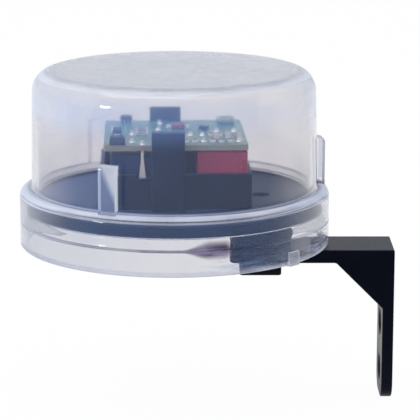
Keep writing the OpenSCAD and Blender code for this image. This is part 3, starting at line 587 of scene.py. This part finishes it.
mouldings = {  # name, darker and lighter shade, grain in mm, roughness, relief in mm, then sockets and dust
    "bracket": ("satinBlackNylon", "#05070d", "#0b0e16", 0.6, (0.3, 0.38), 0.006,  # near black, cool sheen
                {"Specular IOR Level": 0.16, "Specular Tint": "#d0d9f2"}),
    "base": ("satinBlackAbs", "#070c1a", "#0f182c", 0.7, (0.42, 0.52), 0.004,      # dull, under blue dust
             {"Specular IOR Level": 0.08, "Specular Tint": "#8fa8e0"}, "#566a92"),
    "nut": ("blackNylonNut", "#07080c", "#0f1116", 0.5, (0.42, 0.52), 0.006,       # plain dull black
            {"Specular IOR Level": 0.2}),
    "rubber": ("nitrileRubber", "#0d1018", "#181c28", 0.5, (0.6, 0.75), 0.02),     # matt, a little grey
    "relay": ("relayCasePolyester", "#152346", "#223660", 0.5, (0.3, 0.42), 0.012,  # dark blue, cool sheen
              {"Specular IOR Level": 0.3, "Specular Tint": "#b4c4ec"}),
    "relayFoot": ("relayFootPolyester", "#1c1d22", "#2a2c33", 0.5, (0.4, 0.5), 0.012),
    "redBox": ("redCapacitorBox", "#920c36", "#aa184a", 0.6, (0.22, 0.34), 0.01),  # deep red, half glossy
    "potting": ("redPottingResin", "#7c1420", "#93202c", 0.6, (0.15, 0.3), 0.02),  # glossy and uneven
    "sleeve": ("blackShrinkSleeve", "#15171d", "#22252d", 0.8, (0.25, 0.36), 0.015),
    "dipped": ("dippedBlueEpoxy", "#1c3f86", "#2a56a6", 0.9, (0.2, 0.34), 0.03),   # glossy with slow waves
    "compound": ("epoxyMouldingCompound", "#17181c", "#26282f", 0.35, (0.5, 0.65), 0.012),
    "track": ("resistOverCopper", "#6aa98c", "#86bd9e", 0.8, (0.25, 0.35), 0.01),  # copper shows through
    "glaze": ("resistorGlaze", "#1f2126", "#30333a", 0.3, (0.3, 0.42), 0.006),
    "alumina": ("whiteAlumina", "#d9d6cf", "#efece6", 0.3, (0.5, 0.62), 0.006),
    "tanCeramic": ("tanCeramic", "#a39a8a", "#bdb5a6", 0.3, (0.4, 0.55), 0.008),
    "sensorResin": ("sensorResin", "#9fb4ae", "#bccdc6", 0.4, (0.12, 0.22), 0.006),  # pale green, glossy
    "sensorTrack": ("sulphideTrack", "#86766a", "#9d8c7e", 0.3, (0.35, 0.5), 0.006),
    "diodeGlass": ("orangeDiodeGlass", "#a8584a", "#bd6e5c", 0.5, (0.08, 0.16), 0.004,  # wet look
                   {"Transmission Weight": 0.35, "IOR": 1.52}),
}
platings = {  # name, darker and lighter shade, grain in mm, roughness
    "canTop": ("canAluminium", "#a9acb2", "#c9ccd2", 0.5, (0.3, 0.45)),
    "tin": ("tinnedSheet", "#c8c4c0", "#e6e2de", 0.8, (0.28, 0.42)),
    "solder": ("brightSolder", "#d2d4d8", "#f0f1f3", 0.7, (0.16, 0.3)),
}
finish = {"cover": hazyPolycarbonate(), "resist": solderResist(), "lacquer": bandedLacquer()}
finish.update({key: mouldedSurface(*row) for key, row in mouldings.items()})
finish.update({key: platedMetal(*row) for key, row in platings.items()})
print("finishes made:", len(finish))

# clear cover

cover = {"skirtR": 45.0, "skirtWall": 1.8, "stepZ": 16.5, "stepRound": 2.4, "seatZ": 14.7, "hemRound": 0.7,
         "domeR": 41.6, "draft": 1.2, "topZ": 50.7, "shoulder": 5.8, "wall": 2.0, "fillet": 0.9,
         "footIn": 0.04, "poleR": 0.6, "hemEase": 0.15,
         "beadTop": 10.59, "beadH": 2.7, "beadReach": 0.8, "beadLip": 0.02,
         "lugTurns": (3.5, 123.5, 243.5), "lugHalf": 3.3, "lugTop": 30.0, "lugR": 43.9, "lugRound": 1.1,
         "lugFoot": 0.5, "tabTurn": -44.5, "tabHalf": 2.5, "tabTop": 3.9, "tabReach": 0.9, "flank": 0.14,
         # rows in mm below the lugs' top and above the tab's, and columns in degrees: step and least gap
         "lugRows": (-0.5, -0.2, -0.04, 0.0, 0.08, 0.25, 0.5, 0.8, 1.1), "tabRows": (0.4, 0.04),
         "column": 1.5, "columnGap": 0.35, "same": 1e-6}


def arc(centreR, centreZ, radius, start, end, steps):
    # centre + radius * (cos t, sin t), with t in degrees from start to end
    t = np.radians(np.linspace(start, end, steps))
    return np.stack([centreR + radius * np.cos(t), centreZ + radius * np.sin(t)], 1)


def line(start, end, steps):
    # points along a line, without its start
    return np.linspace(start, end, steps + 1)[1:]


def shoulderOf(footR, footZ, top, radius):
    # centre of the shoulder's arc on a wall that leans in by the draft
    lean = np.radians(cover["draft"])
    centreZ = top - radius
    return footR - (centreZ - footZ) * np.tan(lean) - radius / np.cos(lean), centreZ


def outerSection():
    # (radius, height) of the outside, from the top's middle down to the hem
    c = cover
    skirtR, stepZ, stepRound, fillet, hem = [
        c[size] for size in ("skirtR", "stepZ", "stepRound", "fillet", "hemRound")]
    outC, outZ = shoulderOf(c["domeR"], stepZ - stepRound, c["topZ"], c["shoulder"])
    rim = arc(outC, outZ, c["shoulder"], 90, c["draft"], 16)
    footR = c["domeR"] - c["footIn"]
    lugEdge = c["lugTop"] - np.array(c["lugRows"])
    wallZ = np.concatenate([np.linspace(rim[-1, 1], lugEdge[0], 16)[1:-1], lugEdge,
                            np.linspace(lugEdge[-1], stepZ + fillet, 12)[1:]])
    wall = np.stack([np.interp(wallZ, [stepZ, rim[-1, 1]], [footR, rim[-1, 0]]), wallZ], 1)
    overTab = c["tabTop"] + np.array(c["tabRows"])
    skirtZ = np.concatenate([np.linspace(stepZ - stepRound, overTab[0], 12)[1:], overTab[1:],
                             np.linspace(c["tabTop"], hem, 5)[:-1]])
    return np.vstack([
        np.stack([np.linspace(c["poleR"], outC, 10)[:-1], np.full(9, c["topZ"])], 1), rim, wall,
        arc(footR + fillet, stepZ + fillet, fillet, 180, 270, 6)[1:],
        line((footR + fillet, stepZ), (skirtR - stepRound, stepZ), 3),
        arc(skirtR - stepRound, stepZ - stepRound, stepRound, 90, 0, 12)[1:],
        np.stack([np.full(len(skirtZ), skirtR), skirtZ], 1),
        arc(skirtR - hem, hem, hem, 0, -90, 7)])


def innerSection():
    # (radius, height) of the inside, from the hem past the snap bead and the seat up to the top's middle
    c = cover
    inR, domeIn, bend = c["skirtR"] - c["skirtWall"], c["domeR"] - c["wall"], c["shoulder"] - c["wall"]
    inC, inZ = shoulderOf(domeIn, c["seatZ"], c["topZ"] - c["wall"], bend)
    shoulder = arc(inC, inZ, bend, c["draft"], 90, 14)
    top, high, crest = c["beadTop"], c["beadH"], inR - c["beadReach"]
    return np.vstack([
        [(inR + c["hemEase"], 0.0), (inR, c["hemEase"])], line((inR, c["hemEase"]), (inR, top - high), 6),
        line((inR, top - high), (crest, top - high / 3), 4), [(crest, top - high / 6)],
        line((crest, top - high / 6), (inR - c["beadReach"] / 3, top), 2), [(inR, top + c["beadLip"])],
        line((inR, top + c["beadLip"]), (inR, c["seatZ"]), 4),
        line((inR, c["seatZ"]), (domeIn, c["seatZ"]), 4),
        line((domeIn, c["seatZ"]), shoulder[0], 16), shoulder[1:],
        np.stack([np.linspace(inC, c["poleR"], 10)[1:], np.full(9, c["topZ"] - c["wall"])], 1)])


def coverShell():
    # radius as a function of turn and of the way along the section: lugs and tab push the outer wall outwards
    c = cover
    outer, inner = outerSection(), innerSection()
    # columns: an even turn, with steep flanks beside each lug and the tab
    tabTurn = c["tabTurn"] % 360
    blocks = [(t, c["lugHalf"]) for t in c["lugTurns"]] + [(tabTurn, c["tabHalf"])]
    marks = np.concatenate([middle + side * np.array([half, half + c["flank"]])
                            for middle, half in blocks for side in (-1, 1)]) % 360
    even = np.arange(0, 360, c["column"])
    even = even[np.abs((even[:, None] - marks[None] + 180) % 360 - 180).min(1) > c["columnGap"]]
    turn = np.sort(np.concatenate([even, marks]))

    def reach(middle, half):
        # 1 on the block, falling to 0 over its flanks
        off = np.abs((turn - middle + 180) % 360 - 180)
        return np.clip((half + c["flank"] - off) / c["flank"], 0, 1)

    section = np.vstack([outer, inner])
    r = np.repeat(section[:, :1], len(turn), 1)
    z = section[:, 1]
    onOuter = np.arange(len(section)) < len(outer)
    lug = sum(reach(t, c["lugHalf"]) for t in c["lugTurns"])
    over = np.clip(z - (c["lugTop"] - c["lugRound"]), 0, c["lugRound"])
    lugR = c["lugR"] - c["lugRound"] + np.sqrt(c["lugRound"] ** 2 - over ** 2)
    lugRows = onOuter & (z <= c["lugTop"] + c["same"]) & (z > c["stepZ"] - c["lugFoot"])
    r = np.where(lugRows[:, None], r + lug[None] * np.clip(lugR[:, None] - r, 0, None), r)
    tabRows = onOuter & (z <= c["tabTop"] + c["same"])
    tab = reach(tabTurn, c["tabHalf"])
    r = np.where(tabRows[:, None], r + tab[None] * (c["skirtR"] + c["tabReach"] - r), r)
    angle = np.radians(turn)
    points = np.stack([r * np.cos(angle), r * np.sin(angle), np.repeat(z[:, None], len(turn), 1)], -1)
    return stackLoops(points[::-1])


makePiece("coverShell", [("cover", [coverShell()])], ["clear_cover"], sharp=28)
print("cover made")

# sealing ring, base, nut and bracket

seal = {"middleR": 41.9, "width": 2.2, "height": 1.2, "round": 0.35}


def sweptRing(section, around=180):
    # closed (radius, height) section carried round the cover's axis
    turn = np.linspace(0, 2 * np.pi, around, endpoint=False)
    r, z = np.asarray(section, float).T
    points = np.stack([r[None] * np.cos(turn)[:, None], r[None] * np.sin(turn)[:, None],
                       np.repeat(z[None], around, 0)], -1)
    row, col = np.meshgrid(np.arange(around), np.arange(len(r)), indexing="ij")
    nextRow, nextCol = (row + 1) % around, (col + 1) % len(r)
    quads = np.stack([row, nextRow, nextRow, row], -1) * len(r) + np.stack([col, col, nextCol, nextCol], -1)
    return points.reshape(-1, 3), quads.reshape(-1, 4).tolist()


sealSection = roundedLoop(seal["width"] / 2, seal["height"] / 2, seal["round"])
sealSection = sealSection + (seal["middleR"], deckZ + seal["height"] / 2)
makePiece("sealingRing", [("rubber", [sweptRing(sealSection)])], ["sealing_ring"])
softenedCopy("base", "baseMoulding", "base", edge=0.22)
softenedCopy("clamp_nut", "clampNut", "nut", edge=0.4)
softenedCopy("bracket", "wallBracket", "bracket", edge=0.4)
print("base and bracket made")

# parts under the board: mm from the cover's axis

leadTop = topZ + 1.1
leadFoot = boardZ - 1  # inside the part
tags = [(-9.45, -18.3), (-3.95, 15.0), (-1.45, 8.3)]


def pair(at, pitch):
    # two spots, half the pitch to the left and to the right
    return [(at[0] - pitch / 2, at[1]), (at[0] + pitch / 2, at[1])]


def leadsAt(spots, low=leadFoot):
    # a straight lead at each spot, up through the board to its soldered tip
    return [straightLead(spot, low, leadTop) for spot in spots]


relay = {"at": (-8.95, -8.65), "size": (19.0, 15.5, 15.3), "round": 0.7, "edge": 0.45,
         "foot": 1.6, "footIn": 0.5, "footEdge": 0.1, "footUp": 0.1, "footMore": 0.18,
         "pins": [(-8, 0), (-3.4, 6), (-3.4, -6), (7.5, 6), (7.5, -6)]}
relayPins = [(relay["at"][0] + a, relay["at"][1] + b) for a, b in relay["pins"]]


def relayParts():
    # case over a slightly smaller foot that stands against the board
    x, y = relay["at"]
    l, w, h = relay["size"]
    f, inset = relay["foot"], relay["footIn"]
    case = roundedBlock((x, y, boardZ - f - (h - f) / 2), (l, w, h - f), relay["round"], relay["edge"])
    footSize = (l - inset, w - inset, f + relay["footMore"])
    foot = roundedBlock((x, y, boardZ - f / 2 + relay["footUp"]), footSize, relay["round"], relay["footEdge"])
    return [("relay", [case]), ("relayFoot", [foot]), ("tin", leadsAt(relayPins))]


film = {"at": (12.9, -14.45), "size": (14.5, 8.5, 14.5), "round": 0.7, "edge": 0.55, "pitch": 10.0,
        "stand": 0.3, "resinT": 0.7, "resinIn": 1.2, "resinEdge": 0.2}


def filmParts():
    # rounded box, open towards the board and filled with resin
    x, y = film["at"]
    l, w, h = film["size"]
    box = roundedBlock((x, y, boardZ - h / 2 - film["stand"] / 2), (l, w, h - film["stand"]), film["round"],
                       film["edge"])
    resinSize = (l - film["resinIn"], w - film["resinIn"], film["resinT"])
    resin = roundedBlock((x, y, boardZ - film["resinT"] / 2), resinSize, film["round"], film["resinEdge"])
    return [("redBox", [box]), ("potting", [resin]), ("tin", leadsAt(pair(film["at"], film["pitch"])))]


smooth = {"at": (6.15, -4.6), "d": 8.0, "h": 11.5, "pitch": 3.5, "lap": 1.1, "edge": 0.5, "sealEdge": 0.3,
          "sealIn": 1.2, "grooveLow": 2.6, "grooveHigh": 1.0, "bareIn": 1.05, "bare": (0.06, 0.5),
          # the groove's arc: centre outside the can and below its end, radius and half its turn
          "groove": (0.3, 1.8, 0.7, 65)}


def smoothParts():
    # can hanging from the board: sleeve turned over the bare end, and a groove pressed in near the leads
    r, h = smooth["d"] / 2, smooth["h"]
    edge, sealEdge = smooth["edge"], smooth["sealEdge"]
    out, below, grooveR, half = smooth["groove"]
    groove = arc(r + out, h - below, grooveR, 180 + half, 180 - half, 9)
    body = np.vstack([[(r - smooth["lap"], 0.0)], arc(r - edge, edge, edge, -90, 0, 5),
                      [(r, h - smooth["grooveLow"])], groove[groove[:, 0] < r],
                      [(r, h - smooth["grooveHigh"])],
                      arc(r - sealEdge, h - sealEdge, sealEdge, 0, 90, 4), [(r - smooth["sealIn"], h)]])
    at = (*smooth["at"], boardZ - h)
    bareEnd = revolved([(r - smooth["bareIn"], z) for z in smooth["bare"]])
    return [("sleeve", [carried(revolved(body, 56), at)]), ("canTop", [carried(bareEnd, at)]),
            ("tin", leadsAt(pair(smooth["at"], smooth["pitch"])))]


varistor = {"at": (14.75, 1.0), "d": 9.5, "t": 4.0, "pitch": 5.0, "stand": 0.6, "bulge": 1.9, "poleR": 0.6,
            "run": [(1.0, -2.6), (0.95, -1.4), (0.7, -0.5), (0.45, 0.2)], "runBelow": 0.7}


def varistorParts():
    # dipped disc: a lens-shaped edge and epoxy that runs a little way along each lead
    r, t, bulge = varistor["d"] / 2, varistor["t"] / 2, varistor["bulge"]
    edge = np.radians(np.linspace(-90, 90, 17))
    lens = np.stack([r - bulge + bulge * np.cos(edge), t * np.sin(edge)], 1)
    lens = np.vstack([[(varistor["poleR"], -t)], lens, [(varistor["poleR"], t)]])
    middle = boardZ - varistor["stand"] - r
    disc = carried(revolved(lens, 56), (*varistor["at"], middle), along="y")
    leads = pair(varistor["at"], varistor["pitch"])
    runs = [carried(revolved(varistor["run"], 16), (*spot, boardZ - varistor["runBelow"])) for spot in leads]
    return [("dipped", [disc] + runs), ("tin", leadsAt(leads, middle))]


surge = {"at": (-11.15, 4.1), "l": 9.0, "d": 3.4, "waist": 2.9, "span": 13.0, "stand": 0.5, "bend": 0.9,
         "leadFrom": 3.9,  # mm from the middle
         # shares of half the length: where the ends swell and round off, over how much, and the least section
         "swell": (0.5, 0.18), "tip": (0.86, 0.17), "least": 0.12}


def surgeParts():
    # lacquered body with swollen ends on bent leads
    s = np.linspace(-1, 1, 41)
    swollen, rounded = [np.clip((np.abs(s) - start) / over, 0, 1)
                        for start, over in (surge["swell"], surge["tip"])]
    r = surge["waist"] / 2 + (surge["d"] - surge["waist"]) / 2 * swollen
    r *= np.sqrt(np.clip(1 - rounded ** 2, surge["least"], 1))
    middle = boardZ - surge["stand"] - surge["d"] / 2
    at = (*surge["at"], middle)
    body = carried(revolved(np.stack([r, s * surge["l"] / 2], 1), 32), at, along="x")
    bend, half = surge["bend"], surge["span"] / 2
    turn = np.radians(np.linspace(0, 90, 8))[1:]
    x = np.concatenate([[surge["leadFrom"], half - bend], half - bend + bend * np.sin(turn), [half]])
    z = np.concatenate([[0, 0], bend - bend * np.cos(turn), [leadTop - middle]])
    wires = [bentTube(np.stack([at[0] + side * x, np.full(len(x), at[1]), middle + z], 1), wire["d"] / 2)
             for side in (-1, 1)]
    return [("lacquer", [body]), ("tin", wires)]


makePiece("relayBody", relayParts(), ["relay"])
makePiece("filmCapacitor", filmParts(), ["film_capacitor"])
makePiece("smoothingCapacitor", smoothParts(), ["smoothing_capacitor"])
makePiece("varistorDisc", varistorParts(), ["varistor"], sharp=40)
makePiece("surgeResistor", surgeParts(), ["surge_resistor"], sharp=40)
softenedCopy("wire_tags", "wireTags", "tin", edge=0.12)
print("parts under the board made")

# board, tracks and solder

for node, look in (("circuit_board", "resist"), ("chip_legs", "tin")):
    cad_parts[node].data.materials.clear()
    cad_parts[node].data.materials.append(finish[look])

copper = {"high": 0.05, "wide": 1.5, "narrow": 0.7,
          "runs": [  # width, points
              ("wide", [(-16.95, -8.65), (-18.7, -10.6), (-18.7, -16.6)]),
              ("wide", [(-12.35, -14.65), (-9.45, -17.0), (-9.45, -18.3)]),
              ("wide", [(-1.45, -14.65), (-1.45, -12.6), (0.2, -11.2), (5.8, -11.2), (7.9, -13.0),
                        (7.9, -14.45)]),
              ("narrow", [(-1.45, -2.65), (2.4, -2.65), (4.4, -4.6)]),
              ("narrow", [(7.9, -4.6), (7.9, -1.6), (10.4, 1.0), (12.25, 1.0)]),
              ("narrow", [(17.25, 1.0), (18.9, 3.2), (18.9, 12.6), (17.35, 15.4)]),
              ("narrow", [(13.95, 15.4), (11.2, 12.6), (8.65, 10.2), (8.65, 4.6)]),
              ("narrow", [(-12.35, -2.65), (-14.2, -0.8), (-14.2, 9.0), (-13.95, 13.0)]),
              ("narrow", [(-4.65, 4.1), (-4.65, 6.6), (-1.45, 8.3)]),
              ("narrow", [(-3.95, 15.0), (-8.2, 15.0), (-9.6, 16.4), (-11.2, 16.4)]),
              ("narrow", [(3.2, 5.2), (6.0, 5.2), (7.6, 3.5)]),
              ("wide", [(17.9, -14.45), (19.2, -13.1), (19.2, -9.4)])]}
tracks = [flatStrip(points, copper[width], topZ, topZ + copper["high"]) for width, points in copper["runs"]]
makePiece("copperTracks", [("track", tracks)])

joint = {"neck": 0.5, "flare": 0.5, "fall": 2.2, "low": 0.02, "rise": 0.88}
jointSpots = relayPins + sum((pair(part["at"], part["pitch"]) for part in (film, smooth, varistor)), [])
jointSpots += pair(surge["at"], surge["span"]) + tags


def solderCone(spot):
    # concave fillet that climbs from the pad to the lead: its flare falls off by a power, as in wetted solder
    t = np.linspace(0, 1, 9)
    r = joint["neck"] + joint["flare"] * (1 - t) ** joint["fall"]
    return carried(revolved(np.stack([r, joint["low"] + joint["rise"] * t], 1), 22), (*spot, topZ))


solderCones = [solderCone(spot) for spot in jointSpots]
makePiece("solderJoints", [("solder", solderCones)], ["solder_joints"], sharp=50)
print("board made")

# parts on the board

chips = {"pitch": 2.5, "front": (-4, -3, -1, 0, 1), "rearX": (10.4, 12.9, 15.4, 17.9),
         "bankY": (-3.8, -0.2, 3.4), "ceramicX": (11.75, 14.95, 18.15), "ceramicY": -8.6,
         "resistor": (3.2, 1.6, 0.7), "ceramic": (3.2, 1.6, 1.3), "end": 0.55, "soft": (0.06, 0.05),
         # what the bodies lose under their plating, and the glaze: its lap, what it loses in width, thickness
         "aluminaIn": (0.1, 0.04, 0.08), "ceramicIn": (0.1, 0.06, 0.03), "glaze": (0.1, 0.12, 0.1),
         # plated cap: corner, edge and how far it stands proud; then the solder fillet at its foot: half its
         # length there, what it loses in length and width on its way up, and its share of the cap's height
         "cap": (0.08, 0.07, 0.02), "fillet": (0.28, 0.2, 0.12, 0.7), "filletRound": 0.06}
resistorSpots = [(film["at"][0] + i * chips["pitch"], film["at"][1], 90) for i in chips["front"]]
resistorSpots += [(x, smooth["at"][1], 90) for x in chips["rearX"]]
resistorSpots += [(tags[0][0], y, 0) for y in chips["bankY"]]
ceramicSpots = [(x, chips["ceramicY"], 90) for x in chips["ceramicX"]]


def chipBody(size, low=0.0):
    # rounded block that stands on its own zero, or at a height above it
    return roundedBlock((0, 0, low + size[2] / 2), size, *chips["soft"], 3)


def chipEnds(size):
    # plated caps over both ends, with a small solder fillet at each foot
    l, w, thick = size
    e = chips["end"]
    corner, edge, proud = chips["cap"]
    half, loseL, loseW, climb = chips["fillet"]
    climbing = (0.0, 0.35, 0.7, 1.0)
    parts = []
    for s in (-1, 1):
        at = (s * (l - e) / 2, 0, thick / 2 + proud / 2)
        parts.append(roundedBlock(at, (e, w, thick + proud), corner, edge, 3))
        slope = [roundedLoop(half - loseL * t, w / 2 - loseW * t, chips["filletRound"])
                 + (s * (l / 2 + proud), 0) for t in climbing]
        parts.append(levelled(slope, [proud + thick * climb * t for t in climbing]))
    return parts


def onBoard(parts, spots):
    # all the parts at every (x, y, turn) on the board
    return [carried(part, (x, y, topZ), turn) for x, y, turn in spots for part in parts]


chipL, chipW, chipT = chips["resistor"]
lap, glazeIn, glazeT = chips["glaze"]
glaze = chipBody((chipL - 2 * chips["end"] + lap, chipW - glazeIn, glazeT), chipT - glazeT)
alumina, ceramic = [chipBody(np.subtract(chips[kind], chips[inset]))
                    for kind, inset in (("resistor", "aluminaIn"), ("ceramic", "ceramicIn"))]
makePiece("chipResistors", [
    ("alumina", onBoard([alumina], resistorSpots)), ("glaze", onBoard([glaze], resistorSpots)),
    ("tin", onBoard(chipEnds(chips["resistor"]), resistorSpots))], ["chip_resistors"])
makePiece("chipCapacitors", [
    ("tanCeramic", onBoard([ceramic], ceramicSpots)),
    ("tin", onBoard(chipEnds(chips["ceramic"]), ceramicSpots))], ["chip_capacitors"])

sensor = {"at": (15.65, 15.4), "d": 5.4, "flat": 4.7, "t": 1.4, "stand": 0.3, "pitch": 3.4, "edge": 0.3,
          "trackRows": (-1.5, 1.5, 8), "trackR": 2.1, "trackFill": 0.9, "trackW": 0.22, "trackHalf": 0.02,
          "legIn": 0.6, "legD": 0.6, "around": 64}


def sensorParts():
    # round resin body with two flats, a winding track on its face and two leads
    turn = np.linspace(0, 2 * np.pi, sensor["around"], endpoint=False)
    inset, rise = (a[:, None] for a in roundedEnds(sensor["t"] / 2, sensor["edge"], 4, 5))
    r, flat = sensor["d"] / 2 - inset, sensor["flat"] / 2
    loops = np.stack([r * np.cos(turn), np.clip(r * np.sin(turn), -flat + inset, flat - inset),
                      np.repeat(rise, len(turn), 1)], -1)
    low = topZ + sensor["stand"]
    body = carried(stackLoops(loops), (*sensor["at"], low + sensor["t"] / 2))
    rows = np.linspace(*sensor["trackRows"])
    ends = np.sqrt(sensor["trackR"] ** 2 - rows ** 2) * sensor["trackFill"]
    winding = np.concatenate([[(-x, y), (x, y)] if i % 2 else [(x, y), (-x, y)]
                              for i, (x, y) in enumerate(zip(ends, rows))])
    face = low + sensor["t"]
    track = flatStrip(winding + np.array(sensor["at"]), sensor["trackW"], face - sensor["trackHalf"],
                      face + sensor["trackHalf"])
    legs = [straightLead(spot, topZ, low + sensor["legIn"], sensor["legD"])
            for spot in pair(sensor["at"], sensor["pitch"])]
    return [("sensorResin", [body]), ("sensorTrack", [track]), ("tin", legs)]


diodes = {"places": [((-16.45, -17.7), 0, 4.5, 3.7), ((-16.55, -5.0), 90, 4.5, 2.8)],  # turn, length, width
          "levels": [(0.15, 0.1), (0.0, 1.0), (0.25, 2.18), (0.34, 2.3)], "round": 0.12, "sideLean": 0.8,
          # tin strips: corner and edge, then place past the body's end, height of the middle, and size
          "stripSoft": (0.05, 0.04),
          "strips": [(-0.38, 0.1, (1.06, 1.8, 0.2)), (0.06, 0.5, (0.18, 1.8, 1.0))]}


def diodeParts():
    # moulded body that draws in above and below its waist, on two bent tin feet
    bodies, feet = [], []
    for at, turn, length, width in diodes["places"]:
        loops = [roundedLoop(length / 2 - i, width / 2 - i * diodes["sideLean"], diodes["round"])
                 for i, z in diodes["levels"]]
        bodies.append(carried(levelled(loops, [z for i, z in diodes["levels"]]), (*at, topZ), turn))
        strips = [roundedBlock((s * (length / 2 + past), 0, z), size, *diodes["stripSoft"], 3)
                  for s in (-1, 1) for past, z, size in diodes["strips"]]
        feet += [carried(strip, (*at, topZ), turn) for strip in strips]
    return [("compound", bodies), ("tin", feet)]


# the bead's ends: shares of its radius; leads: radius and reach inwards and outwards from their middle
glass = {"at": (1.15, 5.2), "l": 4.0, "d": 1.9, "lead": 1.3, "tip": 0.35, "endRound": 0.55,
         "leadR": 0.26, "leadIn": 0.8, "leadOut": 0.65, "padPast": 0.8, "pad": (1.0, 1.1, 0.7),
         "padSoft": (0.4, 0.3)}


def glassParts():
    # bead with rounded ends on two short leads, each in a lump of solder
    r, h = glass["d"] / 2, glass["l"] / 2
    edge, inner = r * glass["endRound"], r * (1 - glass["endRound"])
    bead = np.vstack([[(r * glass["tip"], -h)], arc(inner, -h + edge, edge, -90, 0, 6),
                      arc(inner, h - edge, edge, 0, 90, 6), [(r * glass["tip"], h)]])
    x, y = glass["at"]
    at = (x, y, topZ + r)
    middles = [s * (h + glass["lead"] / 2) for s in (-1, 1)]
    spans = [(m - glass["leadIn"], m + glass["leadOut"]) for m in middles]
    leads = [carried(revolved([(glass["leadR"], end) for end in span], 12), at, along="x") for span in spans]
    padZ = topZ + glass["pad"][2] / 2
    pads = [roundedBlock((x + s * (h + glass["padPast"]), y, padZ), glass["pad"],
                         *glass["padSoft"], 3) for s in (-1, 1)]
    return [("diodeGlass", [carried(revolved(bead, 28), at, along="x")]), ("tin", leads), ("solder", pads)]


driver = {"at": (8.65, 3.5), "l": 2.9, "w": 1.4, "h": 1.2, "lift": 0.1, "round": 0.12,
          "leg": 0.5, "legW": 0.42, "legT": 0.4, "legIn": 0.2, "legSoft": 0.05}


def driverParts():
    # small moulded block on three flat legs
    x, y = driver["at"]
    l, w, high, leg = driver["l"], driver["w"], driver["h"] - driver["lift"], driver["leg"]
    middle = (x, y, topZ + driver["lift"] + high / 2)
    body = roundedBlock(middle, (l, w, high), driver["round"], driver["round"], 3)
    legSize = (driver["legW"], leg + driver["legIn"], driver["legT"])
    legs = [roundedBlock((x + dx, y + s * (w / 2 + leg / 2 - driver["legIn"] / 2), topZ + driver["legT"] / 2),
                         legSize, driver["legSoft"], driver["legSoft"], 3)
            for dx, s in [(-l / 3, -1), (l / 3, -1), (0, 1)]]
    return [("compound", [body]), ("tin", legs)]


# package: inset in mm at shares of its height, and at mm below its top
chip = {"at": (-13.95, 16.4), "size": (3.6, 3.9, 1.9), "lift": 0.22, "round": 0.08,
        "insets": (0.12, 0.0, 0.14, 0.2), "parting": 0.55, "topEdge": 0.06}


def chipParts():
    # moulded package that draws in above and below its parting line
    l, w, t = chip["size"]
    loops = [roundedLoop(l / 2 - i, w / 2 - i, chip["round"]) for i in chip["insets"]]
    heights = (0.0, t * chip["parting"], t - chip["topEdge"], t)
    return [("compound", [carried(levelled(loops, heights), (*chip["at"], topZ + chip["lift"]))])]


makePiece("lightSensor", sensorParts(), ["light_sensor"])
makePiece("rectifierDiodes", diodeParts(), ["rectifier_diodes"])
makePiece("glassDiode", glassParts(), ["glass_diode"], sharp=45)
makePiece("driverTransistor", driverParts(), ["driver_transistor"])
makePiece("controlChip", chipParts(), ["control_chip"])
print("parts on the board made")
